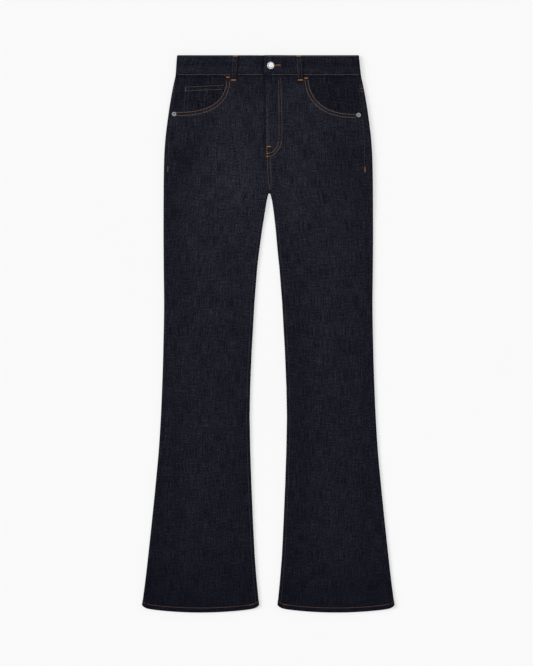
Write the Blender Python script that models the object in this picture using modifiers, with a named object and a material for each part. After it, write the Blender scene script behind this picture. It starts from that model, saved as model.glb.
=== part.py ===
"""High-rise slim jeans with a flared hem, laid flat on their back with the front side up.

Metres, +Z up. +X is to the viewer's right (the wearer's left), +Y runs towards the waist, and
the origin is on the surface under the middle of the garment. "Drop" is the distance below the
waistband's top edge. A section across one half of the garment is a flattened ring: a top layer
and a bottom layer, joined by a round fold at the side and, on a leg, by another at the inseam.
"""
import math

import bmesh
import bpy
import numpy as np

MM = 0.001

# ---- driving dimensions --------------------------------------------------------------------------
LENGTH = 1120 * MM
WAISTBAND_HEIGHT = 41.9 * MM
CROTCH_DROP = 277.0 * MM
SEAM_GAP = 0.3 * MM

CLOTH = 1.2 * MM              # wall of a front, back or yoke
HEM_CLOTH = 2.2 * MM          # wall where the hem is turned up
BAND_CLOTH = 2.2 * MM         # wall of the waistband
LINING_CLOTH = 1.0 * MM       # wall of a pocket facing and the coin pocket
PATCH_CLOTH = 1.4 * MM        # wall of a back pocket or a belt loop

FOLD_RADIUS = 2.8 * MM        # outer radius of the round fold at the side and the inseam
BAND_FOLD_RADIUS = 3.2 * MM
UNDER_LIFT = PATCH_CLOTH + SEAM_GAP   # the hips lie on the back pockets and loops
LIFT_END = (300 * MM, 345 * MM)       # drops between which the cloth comes down to the surface

# ---- outline: drop, half width at the side, half width at the inseam (millimetres) ---------------
OUTLINE = (
    # drop,   side,   inseam
    (0.0,     182.1,    0.0),
    (41.9,    186.8,    0.0),
    (62.4,    191.2,    0.0),
    (90.6,    196.4,    0.0),
    (126.8,   201.9,    0.0),
    (175.1,   207.5,    0.0),
    (211.3,   209.5,    0.0),
    (277.0,   210.5,    0.0),
    (278.4,   210.5,    2.2),
    (291.8,   210.6,    5.8),
    (352.2,   210.8,   13.8),
    (424.7,   210.4,   22.0),
    (497.1,   209.6,   27.7),
    (593.7,   211.2,   33.2),
    (666.2,   213.5,   36.2),
    (726.5,   216.1,   37.35),
    (786.9,   219.8,   36.3),
    (859.4,   226.3,   33.95),
    (931.8,   233.6,   30.9),
    (1004.3,  241.4,   27.35),
    (1052.6,  246.9,   23.6),
    (1104.9,  253.85,  18.5),
    (1120.0,  256.2,   17.0),
)

# ---- height of the laid cloth away from its folds: drop, height (millimetres) --------------------
LAID_HEIGHT = (
    # drop,  height
    (0.0,    5.4),
    (140.0,  5.4),
    (205.0,  3.2),
    (1082.0, 3.2),
    (1103.0, 5.4),
    (1120.0, 5.4),
)
BAND_LAID_HEIGHT = 5.8 * MM
FOLD_REACH = 22 * MM          # how far the fold's fullness reaches across the cloth

# ---- seams ---------------------------------------------------------------------------------------
INSEAM_ROLL = 9.2 * MM        # the back's edge rolls this far over the inseam fold
INSEAM_ROLL_GROWS = 60 * MM
# how far the back rolls over the side fold on to the front: drop, wearer's right, wearer's left
SIDE_ROLL = (
    (0.0,    4.9,   8.2),
    (90.0,   5.0,   8.6),
    (160.0,  6.2,  11.6),
    (235.0,  7.4,  15.0),
    (400.0,  8.0,  13.0),
    (700.0,  8.0,   9.0),
    (1120.0, 8.0,   8.0),
)
YOKE_SIDE_DROP = 64.0 * MM
YOKE_CENTRE_DROP = 108.0 * MM
YOKE_REFERENCE_WIDTH = 190 * MM

# the fly lap's folded edge, which the wearer's left front carries: drop, x (millimetres)
FLY_EDGE = (
    (0.0,   -5.4),
    (42.0,  -5.4),
    (203.0, -4.0),
    (272.0, -1.6),
    (277.0,  0.0),
)
FLY_UNDERLAP_X = 3.0 * MM
LAP_RAISE = CLOTH + SEAM_GAP
LAP_RAMP = (6 * MM, 20 * MM)          # x between which the raised lap comes down
LAP_FADE = (30 * MM, 10 * MM)         # height above the crotch between which the lap fades out

BAND_OVERLAP_X = -8.5 * MM
BAND_UNDERLAP_X = 22.0 * MM
BAND_RAISE = 1.6 * MM
BAND_DIP = 1.0 * MM
BAND_RAISE_RAMP = (26 * MM, 44 * MM)
BAND_DIP_RAMP = (-10 * MM, -26 * MM)

HEM_BAND = 11 * MM
HEM_SAG = 9 * MM
HEM_CORNER = 6 * MM
HEM_CORNER_POWER = 20
HEM_CURVE_START = 960 * MM

# ---- front pockets: scoop mouth as a quarter superellipse under the waistband --------------------
# for each side: x at the waistband, x where it levels out, depth (millimetres), and power
SCOOPS = {
    "right": {"top_x": 85.5, "level_x": 185.0, "depth": 71.0, "power": 2.6},
    "left": {"top_x": 83.0, "level_x": 172.0, "depth": 73.7, "power": 2.3},
}
FACING_INNER_X = 66 * MM
FACING_BOTTOM_DROP = 136 * MM
FACING_TUCK = 2.0 * MM
# corners of the coin pocket on the wearer's right: distance from the centre, drop (millimetres)
COIN_CORNERS = {
    "top_outer": (167.5, 61.5),
    "top_inner": (82.0, 56.5),
    "bottom_outer": (171.5, 124.0),
    "bottom_inner": (84.0, 128.0),
}
COIN_FACING_DIP = LINING_CLOTH + SEAM_GAP
COIN_DIP_RAMP = (3 * MM, 15 * MM)

# ---- belt loops ----------------------------------------------------------------------------------
LOOP_WIDTH = 11.5 * MM
LOOP_DROPS = (0.6 * MM, 51.0 * MM)
LOOP_ARCH = 0.6 * MM
FRONT_LOOPS = {"right": (-66.0, -70.0), "left": (61.1, 64.6)}        # x at the top and bottom, mm
BACK_LOOPS = {"right": (-105.0, -107.0), "centre": (0.0, 0.0), "left": (105.0, 107.0)}

# ---- back pockets: x from the centre and drop of each corner on one side (millimetres) -----------
BACK_POCKET = (
    # x,     drop
    (34.0,  131.0),
    (172.0, 117.0),
    (165.0, 238.0),
    (109.0, 269.0),
    (49.0,  250.0),
)

# ---- metal ---------------------------------------------------------------------------------------
BUTTON_X = 4.8 * MM
BUTTON_DROP = 21.1 * MM
BUTTON_RADIUS = 7.7 * MM
BUTTON_HEIGHT = 2.6 * MM
SHANK_RADIUS = 1.5 * MM
BUTTONHOLE_WIDTH = 3.6 * MM
BUTTONHOLE_X = (2.6 * MM, 25.0 * MM)
RIVET_RADIUS = 4.8 * MM
RIVET_HEIGHT = 1.3 * MM
RIVETS = {"right": (-189.0, 118.4), "left": (181.5, 120.3)}         # x, drop, mm

# ---- mesh spacing --------------------------------------------------------------------------------
QUARTER_TURN = math.pi / 2
FOLD_STEPS = 3                # faces in a quarter of a fold
BUTTON_STEPS = 28
RIVET_STEPS = 18

SIDE_SIGN = {"right": -1.0, "left": 1.0}


# ---- curves through the tables -------------------------------------------------------------------
def column(table, index):
    """One column of a table of millimetres, in metres."""
    return np.array([row[index] for row in table]) * MM


def smooth_curve(xs, ys, x):
    """Cubic through the table's points whose slope never overshoots them (Fritsch-Carlson)."""
    steps = np.diff(xs)
    slopes = np.diff(ys) / steps
    tangents = np.empty_like(ys)
    tangents[0], tangents[-1] = slopes[0], slopes[-1]
    before, after = slopes[:-1], slopes[1:]
    same_way = before * after > 0
    total = np.where(same_way, before + after, 1.0)
    tangents[1:-1] = np.where(same_way, 2 * before * after / total, 0.0)
    x = np.clip(x, xs[0], xs[-1])
    cell = np.clip(np.searchsorted(xs, x) - 1, 0, len(steps) - 1)
    width = steps[cell]
    t = (x - xs[cell]) / width
    return (
        (2 * t**3 - 3 * t**2 + 1) * ys[cell]
        + (t**3 - 2 * t**2 + t) * width * tangents[cell]
        + (3 * t**2 - 2 * t**3) * ys[cell + 1]
        + (t**3 - t**2) * width * tangents[cell + 1]
    )


def ramp(value, start, end):
    """0 at start and 1 at end, with level ends."""
    t = np.clip((value - start) / (end - start), 0.0, 1.0)
    return t * t * (3 - 2 * t)


def side_width(drop):
    return smooth_curve(column(OUTLINE, 0), column(OUTLINE, 1), drop)


def inseam_width(drop):
    return np.interp(drop, column(OUTLINE, 0), column(OUTLINE, 2))


def laid_height(drop):
    return smooth_curve(column(LAID_HEIGHT, 0), column(LAID_HEIGHT, 1), drop)


def side_roll(side, drop):
    """Length along the cloth from the middle of the side fold to the side seam."""
    from_edge = np.interp(drop, column(SIDE_ROLL, 0), column(SIDE_ROLL, 1 if side == "right" else 2))
    return from_edge - FOLD_RADIUS + FOLD_RADIUS * QUARTER_TURN


def under_lift(drop):
    """Height of the underside above the surface."""
    return UNDER_LIFT * (1 - ramp(drop, *LIFT_END))


def hem_rise(share):
    """How far the hem stands above its lowest point, share being -1 to 1 across the leg."""
    return HEM_SAG * share**2 + HEM_CORNER * np.abs(share) ** HEM_CORNER_POWER


# ---- the ring section ----------------------------------------------------------------------------
class Section:
    """Outer face of one half of a flattened ring, for the body or the waistband.

    A place on it is its layer (+1 top, -1 bottom), its length along the cloth from the middle
    of the inseam fold, or above the crotch from the centre line, and its drop.
    """

    def __init__(self, radius, height, with_crotch):
        self.radius = radius
        self.height = height
        self.with_crotch = with_crotch

    def inner_start(self, drop):
        """Length taken by the inseam fold's quarter turn, which there is only on a leg."""
        on_leg = self.with_crotch & (drop >= CROTCH_DROP)
        return np.where(on_leg, self.radius * QUARTER_TURN, 0.0)

    def length(self, drop):
        """Length of one layer from the inseam's (or centre line's) middle to the side's."""
        quarter = self.radius * QUARTER_TURN
        on_leg = self.with_crotch & (drop >= CROTCH_DROP)
        flat = side_width(drop) - self.radius - np.where(on_leg, inseam_width(drop) + self.radius, 0.0)
        return flat + quarter + self.inner_start(drop)

    def point(self, layer, along, drop):
        """Points and outward normals, as arrays of (x, drop, z) with x from the centre line."""
        layer, along, drop = np.broadcast_arrays(np.asarray(layer, float), along, drop)
        radius, quarter = self.radius, self.radius * QUARTER_TURN
        on_leg = self.with_crotch & (drop >= CROTCH_DROP)
        inner = np.where(on_leg, inseam_width(drop), 0.0)
        start = self.inner_start(drop)
        total = self.length(drop)

        turn_in = np.where(on_leg, np.clip(along / radius, 0, QUARTER_TURN), QUARTER_TURN)
        turn_out = np.clip((total - along) / radius, 0, QUARTER_TURN)
        flat = np.minimum(along, total - quarter) - start
        x = np.where(on_leg, inner + radius, 0.0) + np.where(on_leg, np.maximum(flat, 0), flat)
        x = x - np.where(on_leg, radius * np.cos(turn_in), 0.0) + radius * np.cos(turn_out)
        rise = np.minimum(np.sin(turn_in), np.sin(turn_out))

        # above the crotch the two layers close towards the crotch point
        reach = np.hypot(np.maximum(x, 0), CROTCH_DROP - drop)
        closing = self.with_crotch & ~on_leg & (reach < radius)
        lean = np.where(closing, 1 - reach / radius, 0.0)
        rise = np.where(closing, np.sqrt(np.maximum(1 - lean**2, 0)), rise)

        inner_distance = np.where(on_leg, x - inner, reach) - radius
        side_distance = side_width(drop) - x - radius
        fullness = (1 - self.fade(inner_distance)) * (1 - self.fade(side_distance))
        if not self.with_crotch:
            fullness = 1 - self.fade(side_distance)
        settle = (2 * radius - self.height(drop)) * fullness * (layer > 0)
        z = under_lift(drop) + radius + layer * radius * rise - settle

        safe = np.maximum(reach, 1e-9)
        normal_x = np.cos(turn_out) - np.where(on_leg, np.cos(turn_in), 0.0) - lean * np.maximum(x, 0) / safe
        normal_drop = lean * (CROTCH_DROP - drop) / safe
        return np.stack([x, drop, z], axis=-1), np.stack([normal_x, normal_drop, layer * rise], axis=-1)

    @staticmethod
    def fade(distance):
        """1 at a fold and 0 a few times FOLD_REACH away from it."""
        return np.exp(-((np.maximum(distance, 0) / FOLD_REACH) ** 2))


BODY = Section(FOLD_RADIUS, laid_height, True)
BAND = Section(BAND_FOLD_RADIUS, lambda drop: np.full_like(drop, BAND_LAID_HEIGHT), False)


def to_world(points, side):
    """(x from the centre, drop, z) of one half to the garment's own frame."""
    world = np.array(points, dtype=float)
    world[..., 0] *= SIDE_SIGN[side]
    world[..., 1] = LENGTH / 2 - world[..., 1]
    return world


def lap_raise(x, drop):
    """How far the wearer's left front lies above the right one at the centre front."""
    above_crotch = CROTCH_DROP - drop
    return LAP_RAISE * (1 - ramp(x, *LAP_RAMP)) * (1 - ramp(above_crotch, *LAP_FADE))


# ---- meshes --------------------------------------------------------------------------------------
def make_object(name, mesh, finish, collection):
    thing = bpy.data.objects.new(name, mesh)
    thing.data.materials.clear()
    thing.data.materials.append(finish)
    collection.objects.link(thing)
    return thing


def grid_faces(rows, cols, offset=0, flip=False):
    faces = []
    for i in range(rows - 1):
        for j in range(cols - 1):
            a = offset + i * cols + j
            face = (a, a + 1, a + cols + 1, a + cols)
            faces.append(face[::-1] if flip else face)
    return faces


def wall(name, outer, inner, finish, collection):
    """Closed cloth wall lofted through its sections: an outer face, an inner face and a rim."""
    rows, cols = outer.shape[:2]
    count = rows * cols
    faces = grid_faces(rows, cols) + grid_faces(rows, cols, count, flip=True)
    border = [(0, j) for j in range(cols)] + [(i, cols - 1) for i in range(1, rows)]
    border += [(rows - 1, j) for j in range(cols - 2, -1, -1)] + [(i, 0) for i in range(rows - 2, 0, -1)]
    ring = [i * cols + j for i, j in border]
    for a, b in zip(ring, ring[1:] + ring[:1]):
        faces.append((b, a, a + count, b + count))
    mesh = bpy.data.meshes.new(name)
    mesh.from_pydata(np.concatenate([outer.reshape(-1, 3), inner.reshape(-1, 3)]).tolist(), [], faces)
    bm = bmesh.new()
    bm.from_mesh(mesh)
    bmesh.ops.recalc_face_normals(bm, faces=bm.faces)
    bm.to_mesh(mesh)
    bm.free()
    mesh.update()
    mesh.shade_smooth()
    mesh.set_sharp_from_angle(angle=math.radians(40))
    return make_object(name, mesh, finish, collection)


def sheet(name, points, thickness, finish, collection):
    """Open surface through a grid of points, thickened downwards by Solidify."""
    rows, cols = points.shape[:2]
    mesh = bpy.data.meshes.new(name)
    mesh.from_pydata(points.reshape(-1, 3).tolist(), [], grid_faces(rows, cols))
    bm = bmesh.new()
    bm.from_mesh(mesh)
    bm.normal_update()
    if sum(face.normal.z for face in bm.faces) < 0:
        bmesh.ops.reverse_faces(bm, faces=bm.faces)
    bm.to_mesh(mesh)
    bm.free()
    thing = make_object(name, mesh, finish, collection)
    shell = thing.modifiers.new("cloth", "SOLIDIFY")
    shell.thickness = thickness
    shell.offset = -1
    return thing


def flat_plate(name, outline, bottom, thickness, collection, finish=None):
    """Closed flat outline, a 2D curve filled on both sides and extruded, as a mesh."""
    curve = bpy.data.curves.new(name, "CURVE")
    curve.dimensions = "2D"
    curve.fill_mode = "BOTH"
    curve.extrude = thickness / 2
    spline = curve.splines.new("POLY")
    spline.points.add(len(outline) - 1)
    for point, (x, y) in zip(spline.points, outline):
        point.co = (x, y, 0, 1)
    spline.use_cyclic_u = True
    guide = bpy.data.objects.new(name + "_outline", curve)
    guide.location.z = bottom + thickness / 2
    collection.objects.link(guide)
    bpy.context.view_layer.update()
    mesh = bpy.data.meshes.new_from_object(guide.evaluated_get(bpy.context.evaluated_depsgraph_get()))
    mesh.transform(guide.matrix_world)
    bpy.data.objects.remove(guide)
    bm = bmesh.new()
    bm.from_mesh(mesh)
    bmesh.ops.remove_doubles(bm, verts=bm.verts, dist=1e-6)
    bmesh.ops.recalc_face_normals(bm, faces=bm.faces)
    bm.to_mesh(mesh)
    bm.free()
    mesh.name = name
    thing = bpy.data.objects.new(name, mesh)
    if finish:
        mesh.materials.append(finish)
    collection.objects.link(thing)
    return thing


def cut(target, cutter):
    cutter.hide_render = True
    cutter.display_type = "WIRE"
    modifier = target.modifiers.new("cut", "BOOLEAN")
    modifier.operation = "DIFFERENCE"
    modifier.object = cutter


def turned(name, profile, steps, x, y, z, finish, collection):
    """Solid of revolution. The profile runs down its outer side and ends on its axis."""
    mesh = bpy.data.meshes.new(name)
    edges = [(i, i + 1) for i in range(len(profile) - 1)]
    mesh.from_pydata([(radius, 0, height) for radius, height in profile], edges, [])
    thing = make_object(name, mesh, finish, collection)
    thing.location = (x, y, z)
    screw = thing.modifiers.new("turn", "SCREW")
    screw.steps = steps
    screw.render_steps = steps
    screw.use_merge_vertices = True
    screw.merge_threshold = 1e-5
    return thing


def make_finish(name, color, roughness, metallic=0.0):
    finish = bpy.data.materials.new(name)
    finish.use_nodes = True
    surface = finish.node_tree.nodes["Principled BSDF"]
    surface.inputs["Base Color"].default_value = (*color, 1)
    surface.inputs["Roughness"].default_value = roughness
    surface.inputs["Metallic"].default_value = metallic
    return finish


# ---- rows and columns of the large pieces --------------------------------------------------------
LEG_ROWS = [
    CROTCH_DROP + below * MM
    for below in (0.0, 0.7, 1.4, 5, 14, 27, 42, 60, 90, 135, 190, 260, 340, 430, 520, 610, 690)
]
CROTCH_ROWS = [CROTCH_DROP - above * MM for above in (45, 30, 20, 10, 5, 2.8, 1.5, 0.5)]
HEM_ROWS = [LENGTH - above * MM for above in (100, 66, 37, 24, HEM_BAND / MM + 1.2, HEM_BAND / MM, 5, 2, 0)]
HIP_DROP = CROTCH_DROP - 45 * MM


def shape_hem(drop, share):
    """Bends the straight rows near the hem into its curve."""
    return drop - hem_rise(share) * np.clip((drop - HEM_CURVE_START) / (LENGTH - HEM_CURVE_START), 0, 1)


def hem_share(x):
    """-1 to 1 across the leg at the hem."""
    inner, outer = inseam_width(LENGTH), side_width(LENGTH)
    return np.clip((2 * x - inner - outer) / (outer - inner), -1, 1)


def cloth_at(straight_drop):
    """Wall thickness, which steps up at the turned hem."""
    in_hem = straight_drop > LENGTH - HEM_BAND - 0.5 * MM
    return np.where(in_hem, HEM_CLOTH, CLOTH)


def on_rows(columns, side, drops):
    """Places along the cloth for rows whose drop differs from column to column."""
    return np.stack([np.diagonal(columns(side, row)) for row in drops])


def inseam_roll(drop):
    """Length along the cloth from the middle of the inseam fold to the inseam."""
    return INSEAM_ROLL * ramp(drop, CROTCH_DROP, CROTCH_DROP + INSEAM_ROLL_GROWS)


# ---- fronts --------------------------------------------------------------------------------------
FRONT_TOP_ROWS = [WAISTBAND_HEIGHT + SEAM_GAP] + [d * MM for d in (65, 90, 115, 140, 160, 180, 205)]
FRONT_NEAR_STEPS = (0.0, 1.4, 2.8, 4.4)     # lengths from the inner edge, mm
FRONT_SHARES = np.linspace(0, 1, 9)[1:]


def front_inner(side, drop):
    """Length, from the centre line or inseam fold, at which a front begins."""
    edge = np.interp(drop, column(FLY_EDGE, 0), column(FLY_EDGE, 1))
    lapped = CROTCH_DROP - drop > LAP_FADE[0] + 1 * MM
    if side == "left":
        on_hips = edge
    else:
        on_hips = np.where(lapped, -FLY_UNDERLAP_X, -edge + SEAM_GAP)
    return np.where(drop < CROTCH_DROP, on_hips, inseam_roll(drop) + SEAM_GAP / 2)


def front_columns(side, drops):
    """Places across a front, from its inner edge to the side seam."""
    begin = front_inner(side, drops)[:, None]
    end = (BODY.length(drops) - side_roll(side, drops) - SEAM_GAP / 2)[:, None]
    near = begin + np.array(FRONT_NEAR_STEPS) * MM
    far = near[:, -1:] + (end - near[:, -1:]) * FRONT_SHARES
    return np.concatenate([near, far], axis=1)


def front_panel(side, finish, collection):
    straight = np.array(FRONT_TOP_ROWS + CROTCH_ROWS + LEG_ROWS + HEM_ROWS)[:, None]
    at_hem = front_columns(side, np.array([LENGTH]))
    hem_points, _ = BODY.point(1, at_hem, LENGTH)
    drops = shape_hem(straight, hem_share(hem_points[..., 0]))
    outer, normal = BODY.point(1, on_rows(front_columns, side, drops), drops)
    inner = outer - cloth_at(straight)[..., None] * normal
    if side == "left":
        lift = lap_raise(outer[..., 0], outer[..., 1])
        outer[..., 2] += lift
        inner[..., 2] += lift
    return wall(f"front_{side}", to_world(outer, side), to_world(inner, side), finish, collection)


def scoop_outline(side):
    """Plan of the cloth that the pocket mouth takes away, as (x, y) in the garment's frame."""
    scoop = SCOOPS[side]
    reach = scoop["level_x"] - scoop["top_x"]
    points = []
    for angle in np.linspace(0, QUARTER_TURN, 15):
        x = scoop["level_x"] - reach * math.cos(angle) ** (2 / scoop["power"])
        drop = WAISTBAND_HEIGHT / MM + scoop["depth"] * math.sin(angle) ** (2 / scoop["power"])
        points.append((x, drop))
    level = points[-1][1]
    points = [(points[0][0], WAISTBAND_HEIGHT / MM - 8)] + points
    points += [(225, level), (225, WAISTBAND_HEIGHT / MM - 8)]
    return [(SIDE_SIGN[side] * x * MM, LENGTH / 2 - drop * MM) for x, drop in points]


# ---- backs and yokes -----------------------------------------------------------------------------
ROLL_SHARES = np.array([0, 0.176] + [0.353 + 0.647 * step / 6 for step in range(7)])
BACK_FLAT_STEPS = 7
BACK_SEAM_STEPS = 2
BACK_HIP_ROWS = 6
YOKE_ROWS = 3


def stretch(start, end, steps):
    """Columns from start to end, without the first."""
    shares = np.linspace(0, 1, steps + 1)[1:]
    return start[:, None] + (end - start)[:, None] * shares


def back_columns(side, drops):
    """Places along the cloth from the inseam (or centre back) round the side fold to the side seam.

    Below 0 they are on top, rolled over the inseam fold; past the section's length they are on
    top again, rolled over the side fold.
    """
    on_leg = drops >= CROTCH_DROP
    spread = np.minimum((CROTCH_DROP - drops) * 0.5, 24 * MM)
    begin = np.where(on_leg, -inseam_roll(drops) + SEAM_GAP / 2, SEAM_GAP / 2)
    flat_in = FOLD_RADIUS * QUARTER_TURN + np.where(on_leg, 0.0, spread)
    total = BODY.length(drops)
    flat_out = total - FOLD_RADIUS * QUARTER_TURN
    turned_over = total + FOLD_RADIUS * QUARTER_TURN
    end = total + side_roll(side, drops) - SEAM_GAP / 2
    roll = begin[:, None] + (flat_in - begin)[:, None] * ROLL_SHARES
    return np.concatenate([
        roll,
        stretch(flat_in, flat_out, BACK_FLAT_STEPS),
        stretch(flat_out, turned_over, 2 * FOLD_STEPS),
        stretch(turned_over, end, BACK_SEAM_STEPS),
    ], axis=1)


def back_points(side, drops):
    """Outer points and normals of back cloth on rows of drops, one for each column."""
    places = on_rows(back_columns, side, drops)
    total = BODY.length(drops)
    on_top = (places < 0) | (places > total)
    layer = np.where(on_top, 1.0, -1.0)
    along = np.where(places < 0, -places, np.where(places > total, 2 * total - places, places))
    return BODY.point(layer, along, drops)


def seam_drops(side):
    """Drop of the yoke seam at each column of the back."""
    cols = back_columns(side, np.array([HIP_DROP])).shape[1]
    points, _ = back_points(side, np.full((1, cols), HIP_DROP))
    return yoke_drop(points[0, :, 0])


def yoke_drop(x):
    share = np.clip(x / YOKE_REFERENCE_WIDTH, 0, 1)
    return YOKE_CENTRE_DROP + (YOKE_SIDE_DROP - YOKE_CENTRE_DROP) * share


def rows_between(top_drops, bottom_drops, rows):
    """Rows that run evenly from one line of drops to another."""
    return top_drops + (bottom_drops - top_drops) * np.linspace(0, 1, rows)[:, None]


def back_panel(side, finish, collection):
    seam = seam_drops(side) + SEAM_GAP / 2
    level = np.full_like(seam, HIP_DROP)
    at_hem, _ = back_points(side, np.full((1, len(seam)), LENGTH))
    straight = np.array(CROTCH_ROWS[1:] + LEG_ROWS + HEM_ROWS)[:, None]
    lower = shape_hem(straight, hem_share(at_hem[..., 0]))
    drops = np.concatenate([rows_between(seam, level, BACK_HIP_ROWS), lower])
    outer, normal = back_points(side, drops)
    unbent = np.concatenate([np.zeros(BACK_HIP_ROWS), straight[:, 0]])[:, None]
    inner = outer - cloth_at(unbent)[..., None] * normal
    return wall(f"back_{side}", to_world(outer, side), to_world(inner, side), finish, collection)


def yoke(side, finish, collection):
    seam = seam_drops(side) - SEAM_GAP / 2
    top = np.full_like(seam, WAISTBAND_HEIGHT + SEAM_GAP)
    outer, normal = back_points(side, rows_between(top, seam, YOKE_ROWS))
    inner = outer - CLOTH * normal
    return wall(f"yoke_{side}", to_world(outer, side), to_world(inner, side), finish, collection)


# ---- waistband -----------------------------------------------------------------------------------
BAND_ROWS = np.array([0.0, WAISTBAND_HEIGHT / 2, WAISTBAND_HEIGHT])


def band_half(side, layer, places, drops):
    outer, normal = BAND.point(layer, places, drops)
    inner = outer - BAND_CLOTH * normal
    if layer > 0:
        x = outer[..., 0]
        if side == "left":
            lift = BAND_RAISE * (1 - ramp(x, *BAND_RAISE_RAMP))
        else:
            lift = -BAND_DIP * ramp(-x, BAND_DIP_RAMP[1], BAND_DIP_RAMP[0])
        outer[..., 2] += lift
        inner[..., 2] += lift
    return to_world(outer, side), to_world(inner, side)


def waistband(finish, collection):
    """One strip: over end at the centre front, round the back, to the under end below it."""
    quarter = BAND_FOLD_RADIUS * QUARTER_TURN
    total = BAND.length(BAND_ROWS)
    zero = np.zeros_like(BAND_ROWS)
    drops = BAND_ROWS[:, None]

    def places(start, end, steps, with_first=False):
        more = stretch(start, end, steps)
        return np.concatenate([start[:, None], more], axis=1) if with_first else more

    over_places = np.concatenate([
        places(zero + BAND_OVERLAP_X, zero + BAND_RAISE_RAMP[0], 3, True),
        places(zero + BAND_RAISE_RAMP[0], zero + BAND_RAISE_RAMP[1], 3),
        places(zero + BAND_RAISE_RAMP[1], total - quarter, 5),
        places(total - quarter, total, FOLD_STEPS),
    ], axis=1)
    back_left = np.concatenate([
        places(total, total - quarter, FOLD_STEPS),
        places(total - quarter, zero, 6),
    ], axis=1)
    back_right = np.concatenate([
        places(zero, total - quarter, 6),
        places(total - quarter, total, FOLD_STEPS),
    ], axis=1)
    under_places = np.concatenate([
        places(total, total - quarter, FOLD_STEPS),
        places(total - quarter, zero - BAND_DIP_RAMP[1], 5),
        places(zero - BAND_DIP_RAMP[1], zero - BAND_DIP_RAMP[0], 3),
        places(zero - BAND_DIP_RAMP[0], zero - BAND_UNDERLAP_X, 3),
    ], axis=1)
    parts = [
        band_half("left", 1, over_places, drops),
        band_half("left", -1, back_left, drops),
        band_half("right", -1, back_right, drops),
        band_half("right", 1, under_places, drops),
    ]
    outer = np.concatenate([part[0] for part in parts], axis=1)
    inner = np.concatenate([part[1] for part in parts], axis=1)
    return wall("waistband", outer, inner, finish, collection)


def buttonhole_outline():
    half = BUTTONHOLE_WIDTH / 2
    left, right = BUTTONHOLE_X[0] + half, BUTTONHOLE_X[1] - half
    points = []
    for turn in np.linspace(QUARTER_TURN, 3 * QUARTER_TURN, 7):
        points.append((left + half * math.cos(turn), half * math.sin(turn)))
    for turn in np.linspace(-QUARTER_TURN, QUARTER_TURN, 7):
        points.append((right + half * math.cos(turn), half * math.sin(turn)))
    return [(x, LENGTH / 2 - BUTTON_DROP + y) for x, y in points]


# ---- pieces that lie on a panel ------------------------------------------------------------------
def top_height(section, x, drop):
    """Height of the top layer's outer face above the crotch, where a length is also an x."""
    points, _ = section.point(1, x, drop)
    return points[..., 2]


def facing_level(side, x, drop):
    """Top of a pocket facing: a cloth's thickness under the front, and lower under a coin pocket."""
    level = top_height(BODY, x, drop) - CLOTH - SEAM_GAP
    if side == "right":
        from_seam = side_width(drop) - side_roll(side, drop) - x
        level = level - COIN_FACING_DIP * ramp(from_seam, *COIN_DIP_RAMP)
    return level


def pocket_facing(side, finish, collection):
    drops = np.linspace(WAISTBAND_HEIGHT + SEAM_GAP, FACING_BOTTOM_DROP, 7)[:, None]
    roll = np.interp(drops, column(SIDE_ROLL, 0), column(SIDE_ROLL, 1 if side == "right" else 2))
    outer_x = side_width(drops) - roll + FACING_TUCK
    shares = np.array([0, 0.25, 0.5, 0.72, 0.84, 0.9, 0.95, 1.0])
    x = FACING_INNER_X + (outer_x - FACING_INNER_X) * shares
    drop = np.repeat(drops, len(shares), axis=1)
    points = np.stack([x, drop, facing_level(side, x, drop)], axis=-1)
    return sheet(f"pocket_facing_{side}", to_world(points, side), LINING_CLOTH, finish, collection)


def coin_pocket(finish, collection):
    corner = {place: np.array(xy) * MM for place, xy in COIN_CORNERS.items()}
    across = np.linspace(0, 1, 6)[None, :, None]
    down = np.linspace(0, 1, 5)[:, None, None]
    top = corner["top_outer"] + (corner["top_inner"] - corner["top_outer"]) * across
    bottom = corner["bottom_outer"] + (corner["bottom_inner"] - corner["bottom_outer"]) * across
    plan = top + (bottom - top) * down
    x, drop = plan[..., 0], plan[..., 1]
    level = facing_level("right", x, drop) + SEAM_GAP + LINING_CLOTH
    points = np.stack([x, drop, level], axis=-1)
    return sheet("coin_pocket", to_world(points, "right"), LINING_CLOTH, finish, collection)


def loop_grid(top_x, bottom_x, drops):
    share = (drops - LOOP_DROPS[0]) / (LOOP_DROPS[1] - LOOP_DROPS[0])
    centre = (top_x + (bottom_x - top_x) * share) * MM
    x = centre[:, None] + LOOP_WIDTH * np.array([-0.5, -0.3, 0.3, 0.5])
    return x, np.repeat(drops[:, None], 4, axis=1)


def front_loop(side, finish, collection):
    """Strip over the waistband's face that steps down on to the front below it."""
    edge = WAISTBAND_HEIGHT
    drops = np.array([LOOP_DROPS[0], 8 * MM, 21 * MM, 34 * MM, edge + 0.8 * MM, edge + 5 * MM, LOOP_DROPS[1]])
    x, drop = loop_grid(*FRONT_LOOPS[side], drops)
    band_top = top_height(BAND, np.abs(x), np.minimum(drop, edge))
    body_top = top_height(BODY, np.abs(x), np.maximum(drop, edge))
    share = ramp(drop, edge + 1 * MM, edge + 5 * MM)
    level = band_top + (np.minimum(body_top, band_top) - band_top) * share
    arch = LOOP_ARCH * np.sin(np.pi * np.clip(drop / edge, 0, 1))
    z = level + SEAM_GAP + PATCH_CLOTH + arch
    world = np.stack([x, LENGTH / 2 - drop, z], axis=-1)
    return sheet(f"belt_loop_front_{side}", world, PATCH_CLOTH, finish, collection)


def back_loop(side, finish, collection):
    """Flat strip under the waistband's back, on the surface."""
    x, drop = loop_grid(*BACK_LOOPS[side], np.linspace(*LOOP_DROPS, 4))
    world = np.stack([x, LENGTH / 2 - drop, np.full_like(x, PATCH_CLOTH)], axis=-1)
    return sheet(f"belt_loop_back_{side}", world, PATCH_CLOTH, finish, collection)


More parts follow.
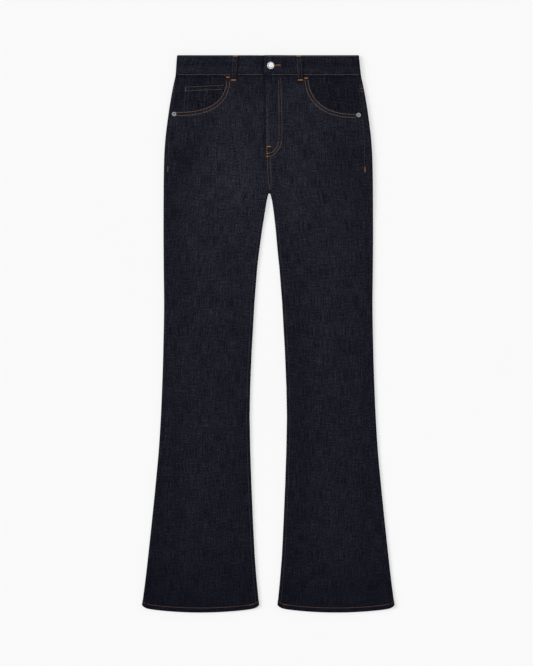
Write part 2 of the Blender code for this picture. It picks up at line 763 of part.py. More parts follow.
def back_pocket(side, finish, collection):
    outline = [(SIDE_SIGN[side] * x * MM, LENGTH / 2 - drop * MM) for x, drop in BACK_POCKET]
    return flat_plate(f"back_pocket_{side}", outline, 0.0, PATCH_CLOTH, collection, finish)


# ---- metal ---------------------------------------------------------------------------------------
def button(finish, collection):
    """Tack button: a domed cap with a raised rim, on a shank through the buttonhole."""
    band_top = float(top_height(BAND, np.array(BUTTON_X), np.array(BUTTON_DROP)))
    under_top = band_top - BAND_DIP
    bottom = band_top + BAND_RAISE + SEAM_GAP
    shank_end = under_top + SEAM_GAP - bottom
    r, h = BUTTON_RADIUS, BUTTON_HEIGHT
    profile = [
        (0, h * 0.72), (r * 0.18, h * 0.72), (r * 0.24, h * 0.62), (r * 0.62, h * 0.66),
        (r * 0.76, h * 0.92), (r * 0.86, h), (r * 0.95, h * 0.86), (r, h * 0.55), (r * 0.95, h * 0.12),
        (r * 0.86, 0), (SHANK_RADIUS, 0), (SHANK_RADIUS, shank_end), (0, shank_end),
    ]
    y = LENGTH / 2 - BUTTON_DROP
    return turned("button", profile, BUTTON_STEPS, BUTTON_X, y, bottom, finish, collection)


def rivet(side, finish, collection):
    x, drop = (value * MM for value in RIVETS[side])
    bottom = float(top_height(BODY, np.array(abs(x)), np.array(drop))) + SEAM_GAP
    r, h = RIVET_RADIUS, RIVET_HEIGHT
    profile = [
        (0, h * 0.75), (r * 0.3, h * 0.7), (r * 0.42, h * 0.45), (r * 0.62, h * 0.9),
        (r * 0.8, h), (r * 0.94, h * 0.7), (r, h * 0.2), (r, 0), (0, 0),
    ]
    return turned(f"rivet_{side}", profile, RIVET_STEPS, x, LENGTH / 2 - drop, bottom, finish, collection)


# ---- the garment ---------------------------------------------------------------------------------
def main():
    for old in list(bpy.data.objects):
        bpy.data.objects.remove(old)
    garment = bpy.data.collections.new("flared_jeans")
    cutters = bpy.data.collections.new("cutters")
    bpy.context.scene.collection.children.link(garment)
    bpy.context.scene.collection.children.link(cutters)

    denim = make_finish("denim", (0.0135, 0.014, 0.023), 0.9)
    band_denim = make_finish("waistband_denim", (0.0115, 0.0115, 0.019), 0.9)
    facing_denim = make_finish("facing_denim", (0.0095, 0.0095, 0.016), 0.92)
    silver = make_finish("polished_metal", (0.72, 0.72, 0.74), 0.25, 1.0)
    grey = make_finish("rivet_metal", (0.5, 0.5, 0.5), 0.4, 1.0)

    for side in ("right", "left"):
        front = front_panel(side, denim, garment)
        cut(front, flat_plate(f"scoop_{side}", scoop_outline(side), -5 * MM, 25 * MM, cutters))
        back_panel(side, denim, garment)
        yoke(side, denim, garment)
        pocket_facing(side, facing_denim, garment)
        front_loop(side, band_denim, garment)
        back_pocket(side, denim, garment)
        rivet(side, grey, garment)
    coin_pocket(facing_denim, garment)

    band = waistband(band_denim, garment)
    over_underside = UNDER_LIFT + BAND_LAID_HEIGHT + BAND_RAISE - BAND_CLOTH
    slot_bottom = over_underside - SEAM_GAP / 2
    cut(band, flat_plate("buttonhole", buttonhole_outline(), slot_bottom, 2 * BAND_CLOTH, cutters))
    for side in BACK_LOOPS:
        back_loop(side, band_denim, garment)
    button(silver, garment)


main()
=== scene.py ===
"""Looks of a pair of high-rise slim jeans with a flared hem, laid flat with the front side up.

The garment's frame is the solids': metres, +Y towards the waist, +Z up out of the surface. "Drop"
is the distance below the waistband's top edge and "across" the distance from the centre line, so
a side of the garment is worked out once and mirrored. Right and left are the wearer's, and the
wearer's right lies on the viewer's left.
"""
import logging
import math
from dataclasses import dataclass, field
from enum import Enum
from typing import Callable, Iterable, Sequence

import bpy
import numpy as np
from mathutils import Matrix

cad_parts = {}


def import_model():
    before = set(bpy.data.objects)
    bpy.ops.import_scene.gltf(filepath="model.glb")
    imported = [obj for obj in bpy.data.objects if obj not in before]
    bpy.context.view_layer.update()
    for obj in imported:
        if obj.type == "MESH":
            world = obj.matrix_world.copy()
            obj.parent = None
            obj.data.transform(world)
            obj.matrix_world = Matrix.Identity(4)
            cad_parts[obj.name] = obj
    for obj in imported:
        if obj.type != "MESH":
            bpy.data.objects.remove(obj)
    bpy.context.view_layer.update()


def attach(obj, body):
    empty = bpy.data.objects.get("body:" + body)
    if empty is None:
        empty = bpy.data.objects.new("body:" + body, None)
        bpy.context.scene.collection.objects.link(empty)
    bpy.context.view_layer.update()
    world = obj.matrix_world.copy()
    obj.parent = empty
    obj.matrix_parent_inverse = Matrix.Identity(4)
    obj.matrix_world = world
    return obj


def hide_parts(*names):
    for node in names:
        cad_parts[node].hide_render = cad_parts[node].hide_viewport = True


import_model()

Array = np.ndarray
LOG = logging.getLogger("jeans")
MM = 0.001
QUARTER = math.pi / 2
BODY_NAME = "root"


class Side(Enum):
    """The wearer's right and left, with the sign of x."""

    RIGHT = -1.0
    LEFT = 1.0

    @property
    def word(self) -> str:
        """The side's name in a node's or piece's name."""
        return self.name.lower()


class Layer(Enum):
    """The laid garment's upper and lower cloth."""

    TOP = 1.0
    UNDER = -1.0


# ---- curves and soft shapes ----------------------------------------------------------------------
def ramp(value: Array, start: float, end: float) -> Array:
    """0 at start and 1 at end, with level ends: 3t^2 - 2t^3."""
    t = np.clip((value - start) / (end - start), 0.0, 1.0)
    return t * t * (3 - 2 * t)


def swell(value: Array, centre: float, reach: float) -> Array:
    """A soft ridge of height 1: exp of minus the squared distance over the squared reach."""
    return np.exp(-(((value - centre) / reach) ** 2))


def edge_fold(distance: Array, radius: float, depth: float) -> Array:
    """How far a folded edge draws in: depth * (sqrt(1 - (1 - d / radius)^2) - 1)."""
    return depth * (np.sqrt(1 - (1 - np.clip(distance / radius, 0, 1)) ** 2) - 1)


def unit(vectors: Array) -> Array:
    """Vectors at a length of 1."""
    return vectors / np.maximum(np.linalg.norm(vectors, axis=-1, keepdims=True), 1e-12)


def smooth_curve(xs: Array, ys: Array, x: Array) -> Array:
    """Cubic through a table's points whose slope never overshoots them.

    Args:
        xs: Where the table's points are, rising.
        ys: Their values.
        x: Where the curve is wanted.

    Returns:
        Hermite cubics whose tangent is the harmonic mean of the slopes on both sides.
    """
    steps = np.diff(xs)
    slopes = np.diff(ys) / steps
    tangents = np.empty_like(ys)
    tangents[0], tangents[-1] = slopes[0], slopes[-1]
    before, after = slopes[:-1], slopes[1:]
    same_way = before * after > 0
    total = np.where(same_way, before + after, 1.0)
    tangents[1:-1] = np.where(same_way, 2 * before * after / total, 0.0)
    x = np.clip(x, xs[0], xs[-1])
    cell = np.clip(np.searchsorted(xs, x) - 1, 0, len(steps) - 1)
    width = steps[cell]
    t = (x - xs[cell]) / width
    return (
        (2 * t**3 - 3 * t**2 + 1) * ys[cell]
        + (t**3 - 2 * t**2 + t) * width * tangents[cell]
        + (3 * t**2 - 2 * t**3) * ys[cell + 1]
        + (t**3 - t**2) * width * tangents[cell + 1]
    )


def column(table: Sequence[Sequence[float]], index: int) -> Array:
    """One column of a table of millimetres, in metres."""
    return np.array([row[index] for row in table]) * MM


def undulation(a: Array, b: Array, wave: float, turn: float = 0.0) -> Array:
    """Uneven waves over a plane, between -1 and 1.

    Args:
        a: First coordinate, in metres.
        b: Second coordinate, in metres.
        wave: The main wavelength, in metres.
        turn: A phase, so that two uses differ.

    Returns:
        The mean of five sines whose directions and wavelengths are not multiples of each other.
    """
    k = 2 * math.pi / wave
    directions = (
        (1.0, 0.15, 0.0), (0.31, 0.92, 1.3), (-0.77, 0.55, 2.1), (0.58, -1.21, 4.4), (1.37, 0.83, 5.2),
    )
    waves = [np.sin(k * (p * a + q * b) + phase + turn * (1 + 0.7 * p)) for p, q, phase in directions]
    return sum(waves) / len(waves)


# ---- sizes of the garment -------------------------------------------------------------------------
@dataclass(frozen=True)
class Sizes:
    """The garment's driving sizes, in metres, which are those of its solids."""

    length: float = 1120 * MM
    band_height: float = 41.9 * MM
    crotch_drop: float = 277.0 * MM
    seam_gap: float = 0.3 * MM
    cloth: float = 1.2 * MM
    hem_cloth: float = 2.2 * MM
    band_cloth: float = 2.2 * MM
    lining_cloth: float = 1.0 * MM
    patch_cloth: float = 1.4 * MM
    fold_radius: float = 2.8 * MM
    band_fold_radius: float = 3.2 * MM
    band_laid_height: float = 5.8 * MM
    under_lift: float = 1.7 * MM
    lift_end: tuple[float, float] = (300 * MM, 345 * MM)
    fold_reach: float = 22 * MM
    inseam_roll: float = 9.2 * MM
    inseam_roll_grows: float = 60 * MM
    yoke_side_drop: float = 64 * MM
    yoke_centre_drop: float = 108 * MM
    yoke_reference_width: float = 190 * MM
    fly_underlap: float = 3 * MM
    lap_raise: float = 1.5 * MM
    lap_ramp: tuple[float, float] = (6 * MM, 20 * MM)
    lap_fade: tuple[float, float] = (30 * MM, 10 * MM)
    band_overlap: float = -8.5 * MM
    band_underlap: float = 22 * MM
    band_raise: float = 1.6 * MM
    band_dip: float = 1.0 * MM
    band_raise_ramp: tuple[float, float] = (26 * MM, 44 * MM)
    band_dip_ramp: tuple[float, float] = (26 * MM, 10 * MM)
    hem_band: float = 11 * MM
    hem_sag: float = 9 * MM
    hem_corner: float = 6 * MM
    hem_corner_power: int = 20
    hem_curve_start: float = 960 * MM
    facing_inner: float = 66 * MM
    facing_bottom: float = 136 * MM
    facing_tuck: float = 2 * MM
    coin_dip_ramp: tuple[float, float] = (3 * MM, 15 * MM)
    loop_width: float = 11.5 * MM
    loop_drops: tuple[float, float] = (0.6 * MM, 51 * MM)
    crotch_slide: float = 2.2 * MM
    corner_spread: float = 1.2 * MM


SIZES = Sizes()

OUTLINE = (
    # drop,   side,   inseam
    (0.0, 182.1, 0.0), (41.9, 186.8, 0.0), (62.4, 191.2, 0.0), (90.6, 196.4, 0.0),
    (126.8, 201.9, 0.0), (175.1, 207.5, 0.0), (211.3, 209.5, 0.0), (277.0, 210.5, 0.0),
    (278.4, 210.5, 2.2), (291.8, 210.6, 5.8), (352.2, 210.8, 13.8), (424.7, 210.4, 22.0),
    (497.1, 209.6, 27.7), (593.7, 211.2, 33.2), (666.2, 213.5, 36.2), (726.5, 216.1, 37.35),
    (786.9, 219.8, 36.3), (859.4, 226.3, 33.95), (931.8, 233.6, 30.9), (1004.3, 241.4, 27.35),
    (1052.6, 246.9, 23.6), (1104.9, 253.85, 18.5), (1120.0, 256.2, 17.0),
)
# drop, height
LAID_HEIGHT = ((0.0, 5.4), (140.0, 5.4), (205.0, 3.2), (1082.0, 3.2), (1103.0, 5.4), (1120.0, 5.4))
# drop, then the side seam's distance from the edge on the wearer's right and left
SIDE_ROLL = (
    (0.0, 4.9, 8.2), (90.0, 5.0, 8.6), (160.0, 6.2, 11.6), (235.0, 7.4, 15.0),
    (400.0, 8.0, 13.0), (700.0, 8.0, 9.0), (1120.0, 8.0, 8.0),
)
# drop, across
FLY_EDGE = ((0.0, -5.4), (42.0, -5.4), (203.0, -4.0), (272.0, -1.6), (277.0, 0.0))


# ---- the faces that cloth lies on ----------------------------------------------------------------
def side_width(drop: Array) -> Array:
    """Half width of the garment at its side edge."""
    return smooth_curve(column(OUTLINE, 0), column(OUTLINE, 1), drop)


def inseam_width(drop: Array) -> Array:
    """Half width of the space between the legs."""
    return np.interp(drop, column(OUTLINE, 0), column(OUTLINE, 2))


def laid_height(drop: Array) -> Array:
    """Height of the laid body away from its folds."""
    return smooth_curve(column(LAID_HEIGHT, 0), column(LAID_HEIGHT, 1), drop)


def band_height(drop: Array) -> Array:
    """Height of the laid waistband away from its folds."""
    return np.full_like(drop, SIZES.band_laid_height)


def seam_from_edge(side: Side, drop: Array) -> Array:
    """Plan distance from the side edge to the side seam."""
    return np.interp(drop, column(SIDE_ROLL, 0), column(SIDE_ROLL, 1 if side is Side.RIGHT else 2))


def side_roll(side: Side, drop: Array) -> Array:
    """Length along the cloth from the middle of the side fold to the side seam."""
    return seam_from_edge(side, drop) - SIZES.fold_radius + SIZES.fold_radius * QUARTER


def inseam_roll(drop: Array) -> Array:
    """Length along the cloth from the middle of the inseam fold to the inseam."""
    return SIZES.inseam_roll * ramp(drop, SIZES.crotch_drop, SIZES.crotch_drop + SIZES.inseam_roll_grows)


def under_lift(drop: Array) -> Array:
    """Height of the underside above the surface: the hips lie on the back pockets."""
    return SIZES.under_lift * (1 - ramp(drop, *SIZES.lift_end))


def lap_raise(x: Array, drop: Array) -> Array:
    """How far the wearer's left front lies above the right one at the centre front."""
    above_crotch = SIZES.crotch_drop - drop
    return SIZES.lap_raise * (1 - ramp(x, *SIZES.lap_ramp)) * (1 - ramp(above_crotch, *SIZES.lap_fade))


def yoke_drop(x: Array) -> Array:
    """Drop of the yoke seam: straight, from the centre back up to the side."""
    share = np.clip(x / SIZES.yoke_reference_width, 0, 1)
    return SIZES.yoke_centre_drop + (SIZES.yoke_side_drop - SIZES.yoke_centre_drop) * share


def hem_rise(share: Array) -> Array:
    """How far the hem stands above its lowest point, share being -1 to 1 across the leg."""
    return SIZES.hem_sag * share**2 + SIZES.hem_corner * np.abs(share) ** SIZES.hem_corner_power


def hem_share(x: Array) -> Array:
    """Place across the leg at the hem, -1 at the inseam and 1 at the side."""
    end = np.array(SIZES.length)
    inner, outer = inseam_width(end), side_width(end)
    return np.clip((2 * x - inner - outer) / (outer - inner), -1, 1)


def shape_hem(drop: Array, share: Array) -> Array:
    """Bends straight rows near the hem into its curve."""
    reach = (drop - SIZES.hem_curve_start) / (SIZES.length - SIZES.hem_curve_start)
    return drop - hem_rise(share) * np.clip(reach, 0, 1)


def drift(x: Array, drop: Array) -> Array:
    """How far the laid cloth lies to the wearer's left of a symmetric garment.

    The crotch has slid that way, fading out above, below and beside it, and the waistband's
    right-hand corner spreads the other way.
    """
    crotch = ramp(drop, 205 * MM, 285 * MM) * (1 - ramp(drop, 300 * MM, 420 * MM)) * swell(x, 0.0, 40 * MM)
    corner = (1 - ramp(drop, 6 * MM, 44 * MM)) * ramp(-x, 150 * MM, 180 * MM)
    return SIZES.crotch_slide * crotch - SIZES.corner_spread * corner


def world(points: Array, side: Side) -> Array:
    """Points as (across, drop, z) of one side to the garment's own frame."""
    placed = np.array(points, dtype=float)
    x, drop = placed[..., 0] * side.value, placed[..., 1]
    placed[..., 0], placed[..., 1] = x + drift(x, drop), SIZES.length / 2 - drop
    return placed


def world_normals(normals: Array, side: Side) -> Array:
    """Unit normals as (across, drop, z) of one side to the garment's own frame."""
    turned = np.array(normals, dtype=float)
    turned[..., 0] *= side.value
    turned[..., 1] *= -1
    return unit(turned)


@dataclass(frozen=True)
class Section:
    """Outer face of one half of a flattened ring, for the body or the waistband.

    A place on it is its layer, its length along the cloth from the middle of the inseam fold, or
    above the crotch from the centre line, and its drop.
    """

    radius: float
    height: Callable[[Array], Array]
    with_crotch: bool

    def on_leg(self, drop: Array) -> Array:
        """True where the section is a leg's."""
        return self.with_crotch & (drop >= SIZES.crotch_drop)

    def inner_start(self, drop: Array) -> Array:
        """Length taken by the inseam fold's quarter turn, which there is only on a leg."""
        return np.where(self.on_leg(drop), self.radius * QUARTER, 0.0)

    def length(self, drop: Array) -> Array:
        """Length of one layer from the inseam's (or centre line's) middle to the side's."""
        drop = np.asarray(drop, float)
        inner = np.where(self.on_leg(drop), inseam_width(drop) + self.radius, 0.0)
        return side_width(drop) - self.radius - inner + self.radius * QUARTER + self.inner_start(drop)

    def along(self, across: Array, drop: Array) -> Array:
        """Length along the cloth at a plan distance from the centre line, on the flat part."""
        drop = np.asarray(drop, float)
        inner = np.where(self.on_leg(drop), inseam_width(drop) + self.radius, 0.0)
        return across - inner + self.inner_start(drop)

    def point(self, layer: Array, along: Array, drop: Array) -> tuple[Array, Array]:
        """Points and outward normals of places on the section.

        The flat part is level. A fold is a half circle of the section's radius. Above the crotch
        the two layers close over a quarter circle towards the crotch point. The top layer
        settles to its laid height away from the folds.

        Args:
            layer: 1 for the top layer and -1 for the under one.
            along: Length along the cloth.
            drop: Distance below the waistband's top edge.

        Returns:
            Two arrays of (across, drop, z).
        """
        layer, along, drop = np.broadcast_arrays(np.asarray(layer, float), along, drop)
        radius, quarter = self.radius, self.radius * QUARTER
        on_leg = self.on_leg(drop)
        inner = np.where(on_leg, inseam_width(drop), 0.0)
        total = self.length(drop)
        turn_in = np.where(on_leg, np.clip(along / radius, 0, QUARTER), QUARTER)
        turn_out = np.clip((total - along) / radius, 0, QUARTER)
        flat = np.minimum(along, total - quarter) - self.inner_start(drop)
        x = np.where(on_leg, inner + radius, 0.0) + np.where(on_leg, np.maximum(flat, 0), flat)
        x = x - np.where(on_leg, radius * np.cos(turn_in), 0.0) + radius * np.cos(turn_out)
        rise = np.minimum(np.sin(turn_in), np.sin(turn_out))

        reach = np.hypot(np.maximum(x, 0), SIZES.crotch_drop - drop)
        closing = self.with_crotch & ~on_leg & (reach < radius)
        lean = np.where(closing, 1 - reach / radius, 0.0)
        rise = np.where(closing, np.sqrt(np.maximum(1 - lean**2, 0)), rise)

        inner_distance = np.where(on_leg, x - inner, reach) - radius
        side_distance = side_width(drop) - x - radius
        fullness = 1 - self.fade(side_distance)
        if self.with_crotch:
            fullness = fullness * (1 - self.fade(inner_distance))
        settle = (2 * radius - self.height(drop)) * fullness * (layer > 0)
        z = under_lift(drop) + radius + layer * radius * rise - settle

        safe = np.maximum(reach, 1e-9)
        normal_x = np.cos(turn_out) - np.where(on_leg, np.cos(turn_in), 0.0) - lean * np.maximum(x, 0) / safe
        normal_drop = lean * (SIZES.crotch_drop - drop) / safe
        return np.stack([x, drop, z], axis=-1), np.stack([normal_x, normal_drop, layer * rise], axis=-1)

    @staticmethod
    def fade(distance: Array) -> Array:
        """1 at a fold and 0 a few times its reach away from it."""
        return np.exp(-((np.maximum(distance, 0) / SIZES.fold_reach) ** 2))


BODY = Section(SIZES.fold_radius, laid_height, True)
BAND = Section(SIZES.band_fold_radius, band_height, False)


@dataclass(frozen=True)
class Scoop:
    """A front pocket's mouth: a quarter of a superellipse that hangs from the waistband."""

    top: float
    level: float
    depth: float
    power: float

    def curve(self, turn: Array, offset: float = 0.0) -> Array:
        """Points (across, drop) along the mouth, moved outwards from it by the offset.

        Args:
            turn: 0 at the waistband and a quarter turn where the mouth levels out.
            offset: Distance from the mouth into the front's cloth.

        Returns:
            x = level - reach * cos^(2/p), drop = band + depth * sin^(2/p), plus offset * normal.
        """
        turn = np.clip(turn, 1e-3, QUARTER - 1e-3)
        reach = self.level - self.top
        c, s = np.cos(turn), np.sin(turn)
        a, b = c ** (2 / self.power), s ** (2 / self.power)
        nx = -(a ** (self.power - 1)) / reach
        nd = b ** (self.power - 1) / self.depth
        size = np.hypot(nx, nd)
        across = self.level - reach * a + offset * nx / size
        drop = SIZES.band_height + self.depth * b + offset * nd / size
        return np.stack([across, drop], axis=-1)

    def distance(self, across: Array, drop: Array) -> Array:
        """Distance from the mouth, positive on the front's cloth and negative in the opening.

        g is the superellipse's radius in its own scale; the distance is (g - 1) over g's slope.
        """
        reach = self.level - self.top
        a = np.maximum(self.level - across, 0) / reach
        b = np.maximum(drop - SIZES.band_height, 1e-6) / self.depth
        g = (a**self.power + b**self.power) ** (1 / self.power)
        gx = (a / g) ** (self.power - 1) / reach
        gd = (b / g) ** (self.power - 1) / self.depth
        return (g - 1) / np.hypot(gx, gd)


SCOOPS = {
    Side.RIGHT: Scoop(85.5 * MM, 185.0 * MM, 71.0 * MM, 2.6),
    Side.LEFT: Scoop(83.0 * MM, 172.0 * MM, 73.7 * MM, 2.3),
}


@dataclass(frozen=True)
class Crease:
    """A soft ridge (rise above 0) or trough in the laid cloth, sizes in millimetres."""

    side: Side
    across: float
    drop: float
    turn: float
    half_length: float
    half_width: float
    rise: float

    def height(self, side: Side, x: Array, drop: Array) -> Array:
        """rise * exp(-(u / half length)^2 - (v / half width)^2), u along the crease and v across."""
        if side is not self.side:
            return np.zeros(np.broadcast(x, drop).shape)
        dx, dy = x - self.across * MM, drop - self.drop * MM
        angle = math.radians(self.turn)
        u = dx * math.cos(angle) + dy * math.sin(angle)
        v = -dx * math.sin(angle) + dy * math.cos(angle)
        v = v + 0.12 * self.half_width * MM * np.sin(u / (0.3 * self.half_length * MM))
        lengthwise = -((u / (self.half_length * MM)) ** 2)
        return self.rise * MM * np.exp(lengthwise - (v / (self.half_width * MM)) ** 2)


R, L = Side.RIGHT, Side.LEFT
TOP_CREASES = (
    # side, across, drop, turn, half length, half width, rise
    Crease(R, 62, 232, 24, 46, 5.5, 0.34), Crease(R, 70, 246, 19, 42, 5.0, -0.26),
    Crease(R, 52, 262, 31, 34, 5.0, 0.26), Crease(R, 128, 214, 12, 38, 6.5, 0.22),
    Crease(L, 58, 226, 27, 48, 6.0, 0.32), Crease(L, 64, 242, 22, 40, 5.0, -0.24),
    Crease(L, 48, 258, 35, 32, 4.5, 0.26), Crease(L, 134, 222, 9, 34, 6.5, 0.20),
    Crease(R, 40, 318, 52, 36, 6.0, 0.26), Crease(L, 44, 326, 56, 40, 6.5, 0.24),
    Crease(R, 96, 430, 84, 90, 14, 0.30), Crease(L, 104, 462, 95, 96, 15, 0.30),
    Crease(R, 122, 612, 8, 46, 8.0, 0.24), Crease(R, 100, 640, -6, 42, 7.5, -0.22),
    Crease(R, 146, 664, 11, 38, 7.0, 0.20), Crease(L, 116, 622, -7, 48, 8.0, 0.24),
    Crease(L, 138, 650, 5, 40, 7.5, -0.22), Crease(L, 98, 678, -10, 38, 7.0, 0.20),
    Crease(R, 150, 860, 78, 120, 17, 0.32), Crease(L, 156, 880, 101, 120, 18, 0.32),
    Crease(R, 96, 980, 96, 70, 13, 0.24), Crease(L, 104, 1000, 82, 66, 13, 0.24),
    Crease(R, 120, 168, 6, 52, 9.0, 0.20), Crease(L, 118, 158, -5, 50, 9.0, 0.20),
)
UNDER_CREASES = (
    # troughs only, because the underside rests flat: side, across, drop, turn, lengths, rise
    Crease(R, 72, 296, 26, 52, 6.0, -0.30), Crease(R, 92, 318, 18, 56, 6.5, -0.28),
    Crease(L, 68, 300, 30, 50, 6.0, -0.30), Crease(L, 98, 324, 15, 54, 6.5, -0.28),
    Crease(R, 118, 356, 10, 60, 8.0, -0.30), Crease(L, 110, 366, 12, 58, 8.0, -0.30),
    Crease(R, 108, 604, 7, 50, 6.5, -0.34), Crease(R, 132, 628, -5, 54, 6.0, -0.32),
    Crease(R, 104, 654, 10, 46, 6.5, -0.30), Crease(L, 120, 598, -8, 52, 6.5, -0.34),
    Crease(L, 100, 630, 6, 54, 6.0, -0.32), Crease(L, 134, 660, -9, 46, 6.5, -0.30),
    Crease(R, 150, 880, 80, 110, 14, -0.30), Crease(L, 146, 900, 99, 110, 14, -0.30),
)


@dataclass(frozen=True)
class Fade:
    """A soft patch of painted light (light above 0) or painted shade (below 0), sizes in millimetres."""

    side: Side
    across: float
    drop: float
    half_width: float
    half_length: float
    light: float
    # how far it drifts outwards for each millimetre down
    lean: float = 0.0

    def value(self, side: Side, x: Array, drop: Array) -> Array:
        """light * exp(-(v / half width)^2 - (u / half length)^2), u down it and v across."""
        if side is not self.side:
            return np.zeros(np.broadcast(x, drop).shape)
        u = (drop - self.drop * MM) / MM
        v = (x - self.across * MM) / MM - self.lean * u
        return self.light * np.exp(-((u / self.half_length) ** 2) - (v / self.half_width) ** 2)


# painted light and shade of the laid cloth's creases and slopes
PAINTED_SHADING = (
    # side, across, drop, half width, half length, light
    Fade(R, 57, 252, 38, 84, 0.27), Fade(R, 156, 190, 31, 72, -0.38, 0.36), Fade(R, 194, 325, 15, 110, -0.20),
    Fade(R, 166, 470, 10, 62, -0.14), Fade(R, 44, 64, 40, 24, -0.24), Fade(R, 36, 480, 13, 96, 0.20),
    Fade(R, 203, 650, 8, 200, 0.12), Fade(R, 184, 860, 9, 130, -0.15), Fade(R, 150, 840, 32, 170, 0.08),
    Fade(L, 40, 300, 26, 62, 0.24), Fade(L, 150, 212, 40, 62, -0.26), Fade(L, 192, 275, 15, 62, -0.12),
    Fade(L, 62, 540, 12, 110, -0.14), Fade(L, 122, 560, 17, 92, 0.12), Fade(L, 70, 820, 13, 112, -0.12),
    Fade(L, 124, 950, 20, 104, 0.13), Fade(L, 10, 180, 13, 38, 0.28), Fade(L, 20, 60, 26, 20, -0.12),
)


BAND_PAINTED_SHADOWS = (
    # painted shadows beside the loops and the over end, on their shaded sides
    Fade(R, 61.6, 22, 2.6, 26, -0.42), Fade(L, 69.0, 22, 2.6, 26, -0.42), Fade(R, 11.4, 21, 2.8, 40, -0.50),
)


def painted_cloth_light(side: Side, x: Array, drop: Array, painted_patches: Sequence[Fade] = PAINTED_SHADING) -> Array:
    """The painted light and shade at a plan distance from the centre line and a drop: 1 + all patches."""
    return 1 + sum(fade.value(side, x, drop) for fade in painted_patches)


@dataclass(frozen=True)
class Relief:
    """Low relief that the cloth has over its solid: creases, seam ridges, folds and the fly."""

    unevenness: float = 0.20 * MM
    seam_ridge: float = 0.30 * MM
    fly_rise: float = 0.32 * MM
    mouth_rise: float = 0.30 * MM
    hem_rise: float = 0.40 * MM
    hem_fold: float = 1.2 * MM
    hem_drawn_in: float = 0.7 * MM
    fly_width: float = 27.5 * MM
    fly_bottom: float = 203.0 * MM

    def bend(self, side: Side, layer: Layer, x: Array, drop: Array) -> Array:
        """How far the whole cloth stands out: the creases and a slight unevenness."""
        creases = TOP_CREASES if layer is Layer.TOP else UNDER_CREASES
        height = sum(crease.height(side, x, drop) for crease in creases)
        wave = undulation(x * side.value, drop, 41 * MM, 0.8 * layer.value)
        if layer is Layer.TOP:
            return height + self.unevenness * wave
        return height - self.unevenness * (0.5 + 0.5 * wave) * ramp(drop, 300 * MM, 350 * MM)

    def fly_mask(self, x: Array, drop: Array) -> Array:
        """1 over the fly's stitched-down facing, which ends in a J above its bottom."""
        lift = np.maximum(drop - (self.fly_bottom - self.fly_width), 0)
        edge = np.sqrt(np.maximum(self.fly_width**2 - lift**2, 0))
        return 1 - ramp(x - edge, -1.6 * MM, 1.6 * MM)

    def beside_seam(self, to_seam: Array) -> Array:
        """Extra thickness over the turning inside a seam."""
        return self.seam_ridge * (1 - ramp(to_seam, 2.5 * MM, 8 * MM)) * ramp(to_seam, 0, 1.2 * MM)

    def top_thickness(self, side: Side, x: Array, drop: Array, to_edges: Array) -> Array:
        """Extra thickness of a front: turnings beside its seams, its mouth and its fly.

        Args:
            side: Which front.
            x: Plan distance from the centre line.
            drop: Distance below the waistband's top edge.
            to_edges: Length along the cloth to the nearer seam.

        Returns:
            The sum of soft bands, each about as wide as the turning below it.
        """
        seam = self.beside_seam(to_edges)
        mouth = SCOOPS[side].distance(x, drop)
        near_mouth = (1 - ramp(mouth, 9 * MM, 12.5 * MM)) * ramp(mouth, -1 * MM, 1.2 * MM)
        beside_pocket = (x > 60 * MM) & (drop < 140 * MM)
        thickness = seam + self.mouth_rise * near_mouth * beside_pocket
        if side is Side.LEFT:
            thickness = thickness + self.fly_rise * self.fly_mask(x, drop)
        return thickness

    def hem_thickness(self, to_hem: Array) -> Array:
        """Extra thickness of the turned hem, rounded off at its fold."""
        band = 1 - ramp(to_hem, SIZES.hem_band - self.hem_fold, SIZES.hem_band + self.hem_fold)
        return self.hem_rise * band + edge_fold(to_hem, self.hem_fold, self.hem_drawn_in)


RELIEF = Relief()


# ---- meshes --------------------------------------------------------------------------------------
SHARP_ANGLE = math.radians(40)
# what a small piece's edge map gives as its distance to the hem
FAR_FROM_HEM = 0.5


def make_mesh(
    name: str, points: Array, faces: Iterable[Array], uvs: dict[str, Array] | None = None
) -> bpy.types.Object:
    """A mesh object from arrays, at the origin and linked to the scene.

    Args:
        name: The piece's name.
        points: Its points, n by 3.
        faces: Arrays of corner numbers, one array for each number of corners.
        uvs: UV maps by name, each a pair of numbers for every point.

    Returns:
        The new object, smooth except at sharp angles.
    """
    faces = [np.asarray(part, dtype=np.int32) for part in faces if len(part)]
    corners = np.concatenate([part.ravel() for part in faces])
    totals = np.concatenate([np.full(len(part), part.shape[1], dtype=np.int32) for part in faces])
    starts = np.concatenate([[0], np.cumsum(totals)[:-1]]).astype(np.int32)
    mesh = bpy.data.meshes.new(name)
    mesh.vertices.add(len(points))
    mesh.vertices.foreach_set("co", np.ascontiguousarray(points, dtype=np.float32).ravel())
    mesh.loops.add(len(corners))
    mesh.loops.foreach_set("vertex_index", corners)
    mesh.polygons.add(len(totals))
    mesh.polygons.foreach_set("loop_start", starts)
    mesh.update(calc_edges=True)
    for label, values in (uvs or {}).items():
        layer = mesh.uv_layers.new(name=label)
        layer.uv.foreach_set("vector", values[corners].astype(np.float32).ravel())
    mesh.shade_smooth()
    mesh.set_sharp_from_angle(angle=SHARP_ANGLE)
    piece = bpy.data.objects.new(name, mesh)
    bpy.context.scene.collection.objects.link(piece)
    return piece


def signed_volume(points: Array, quads: Array) -> float:
    """Volume inside closed quads, below 0 when they face inwards: a sixth of the sum of a.(b x c)."""
    a, b, c, d = (points[quads[:, k]] for k in range(4))
    halves = np.einsum("ij,ij->i", a, np.cross(b, c)) + np.einsum("ij,ij->i", a, np.cross(c, d))
    return float(halves.sum() / 6)


def grid_corners(rows: int, cols: int) -> Array:
    """Corner numbers of a grid's quads."""
    ids = np.arange(rows * cols).reshape(rows, cols)
    return np.stack([ids[:-1, :-1], ids[:-1, 1:], ids[1:, 1:], ids[1:, :-1]], axis=-1).reshape(-1, 4)


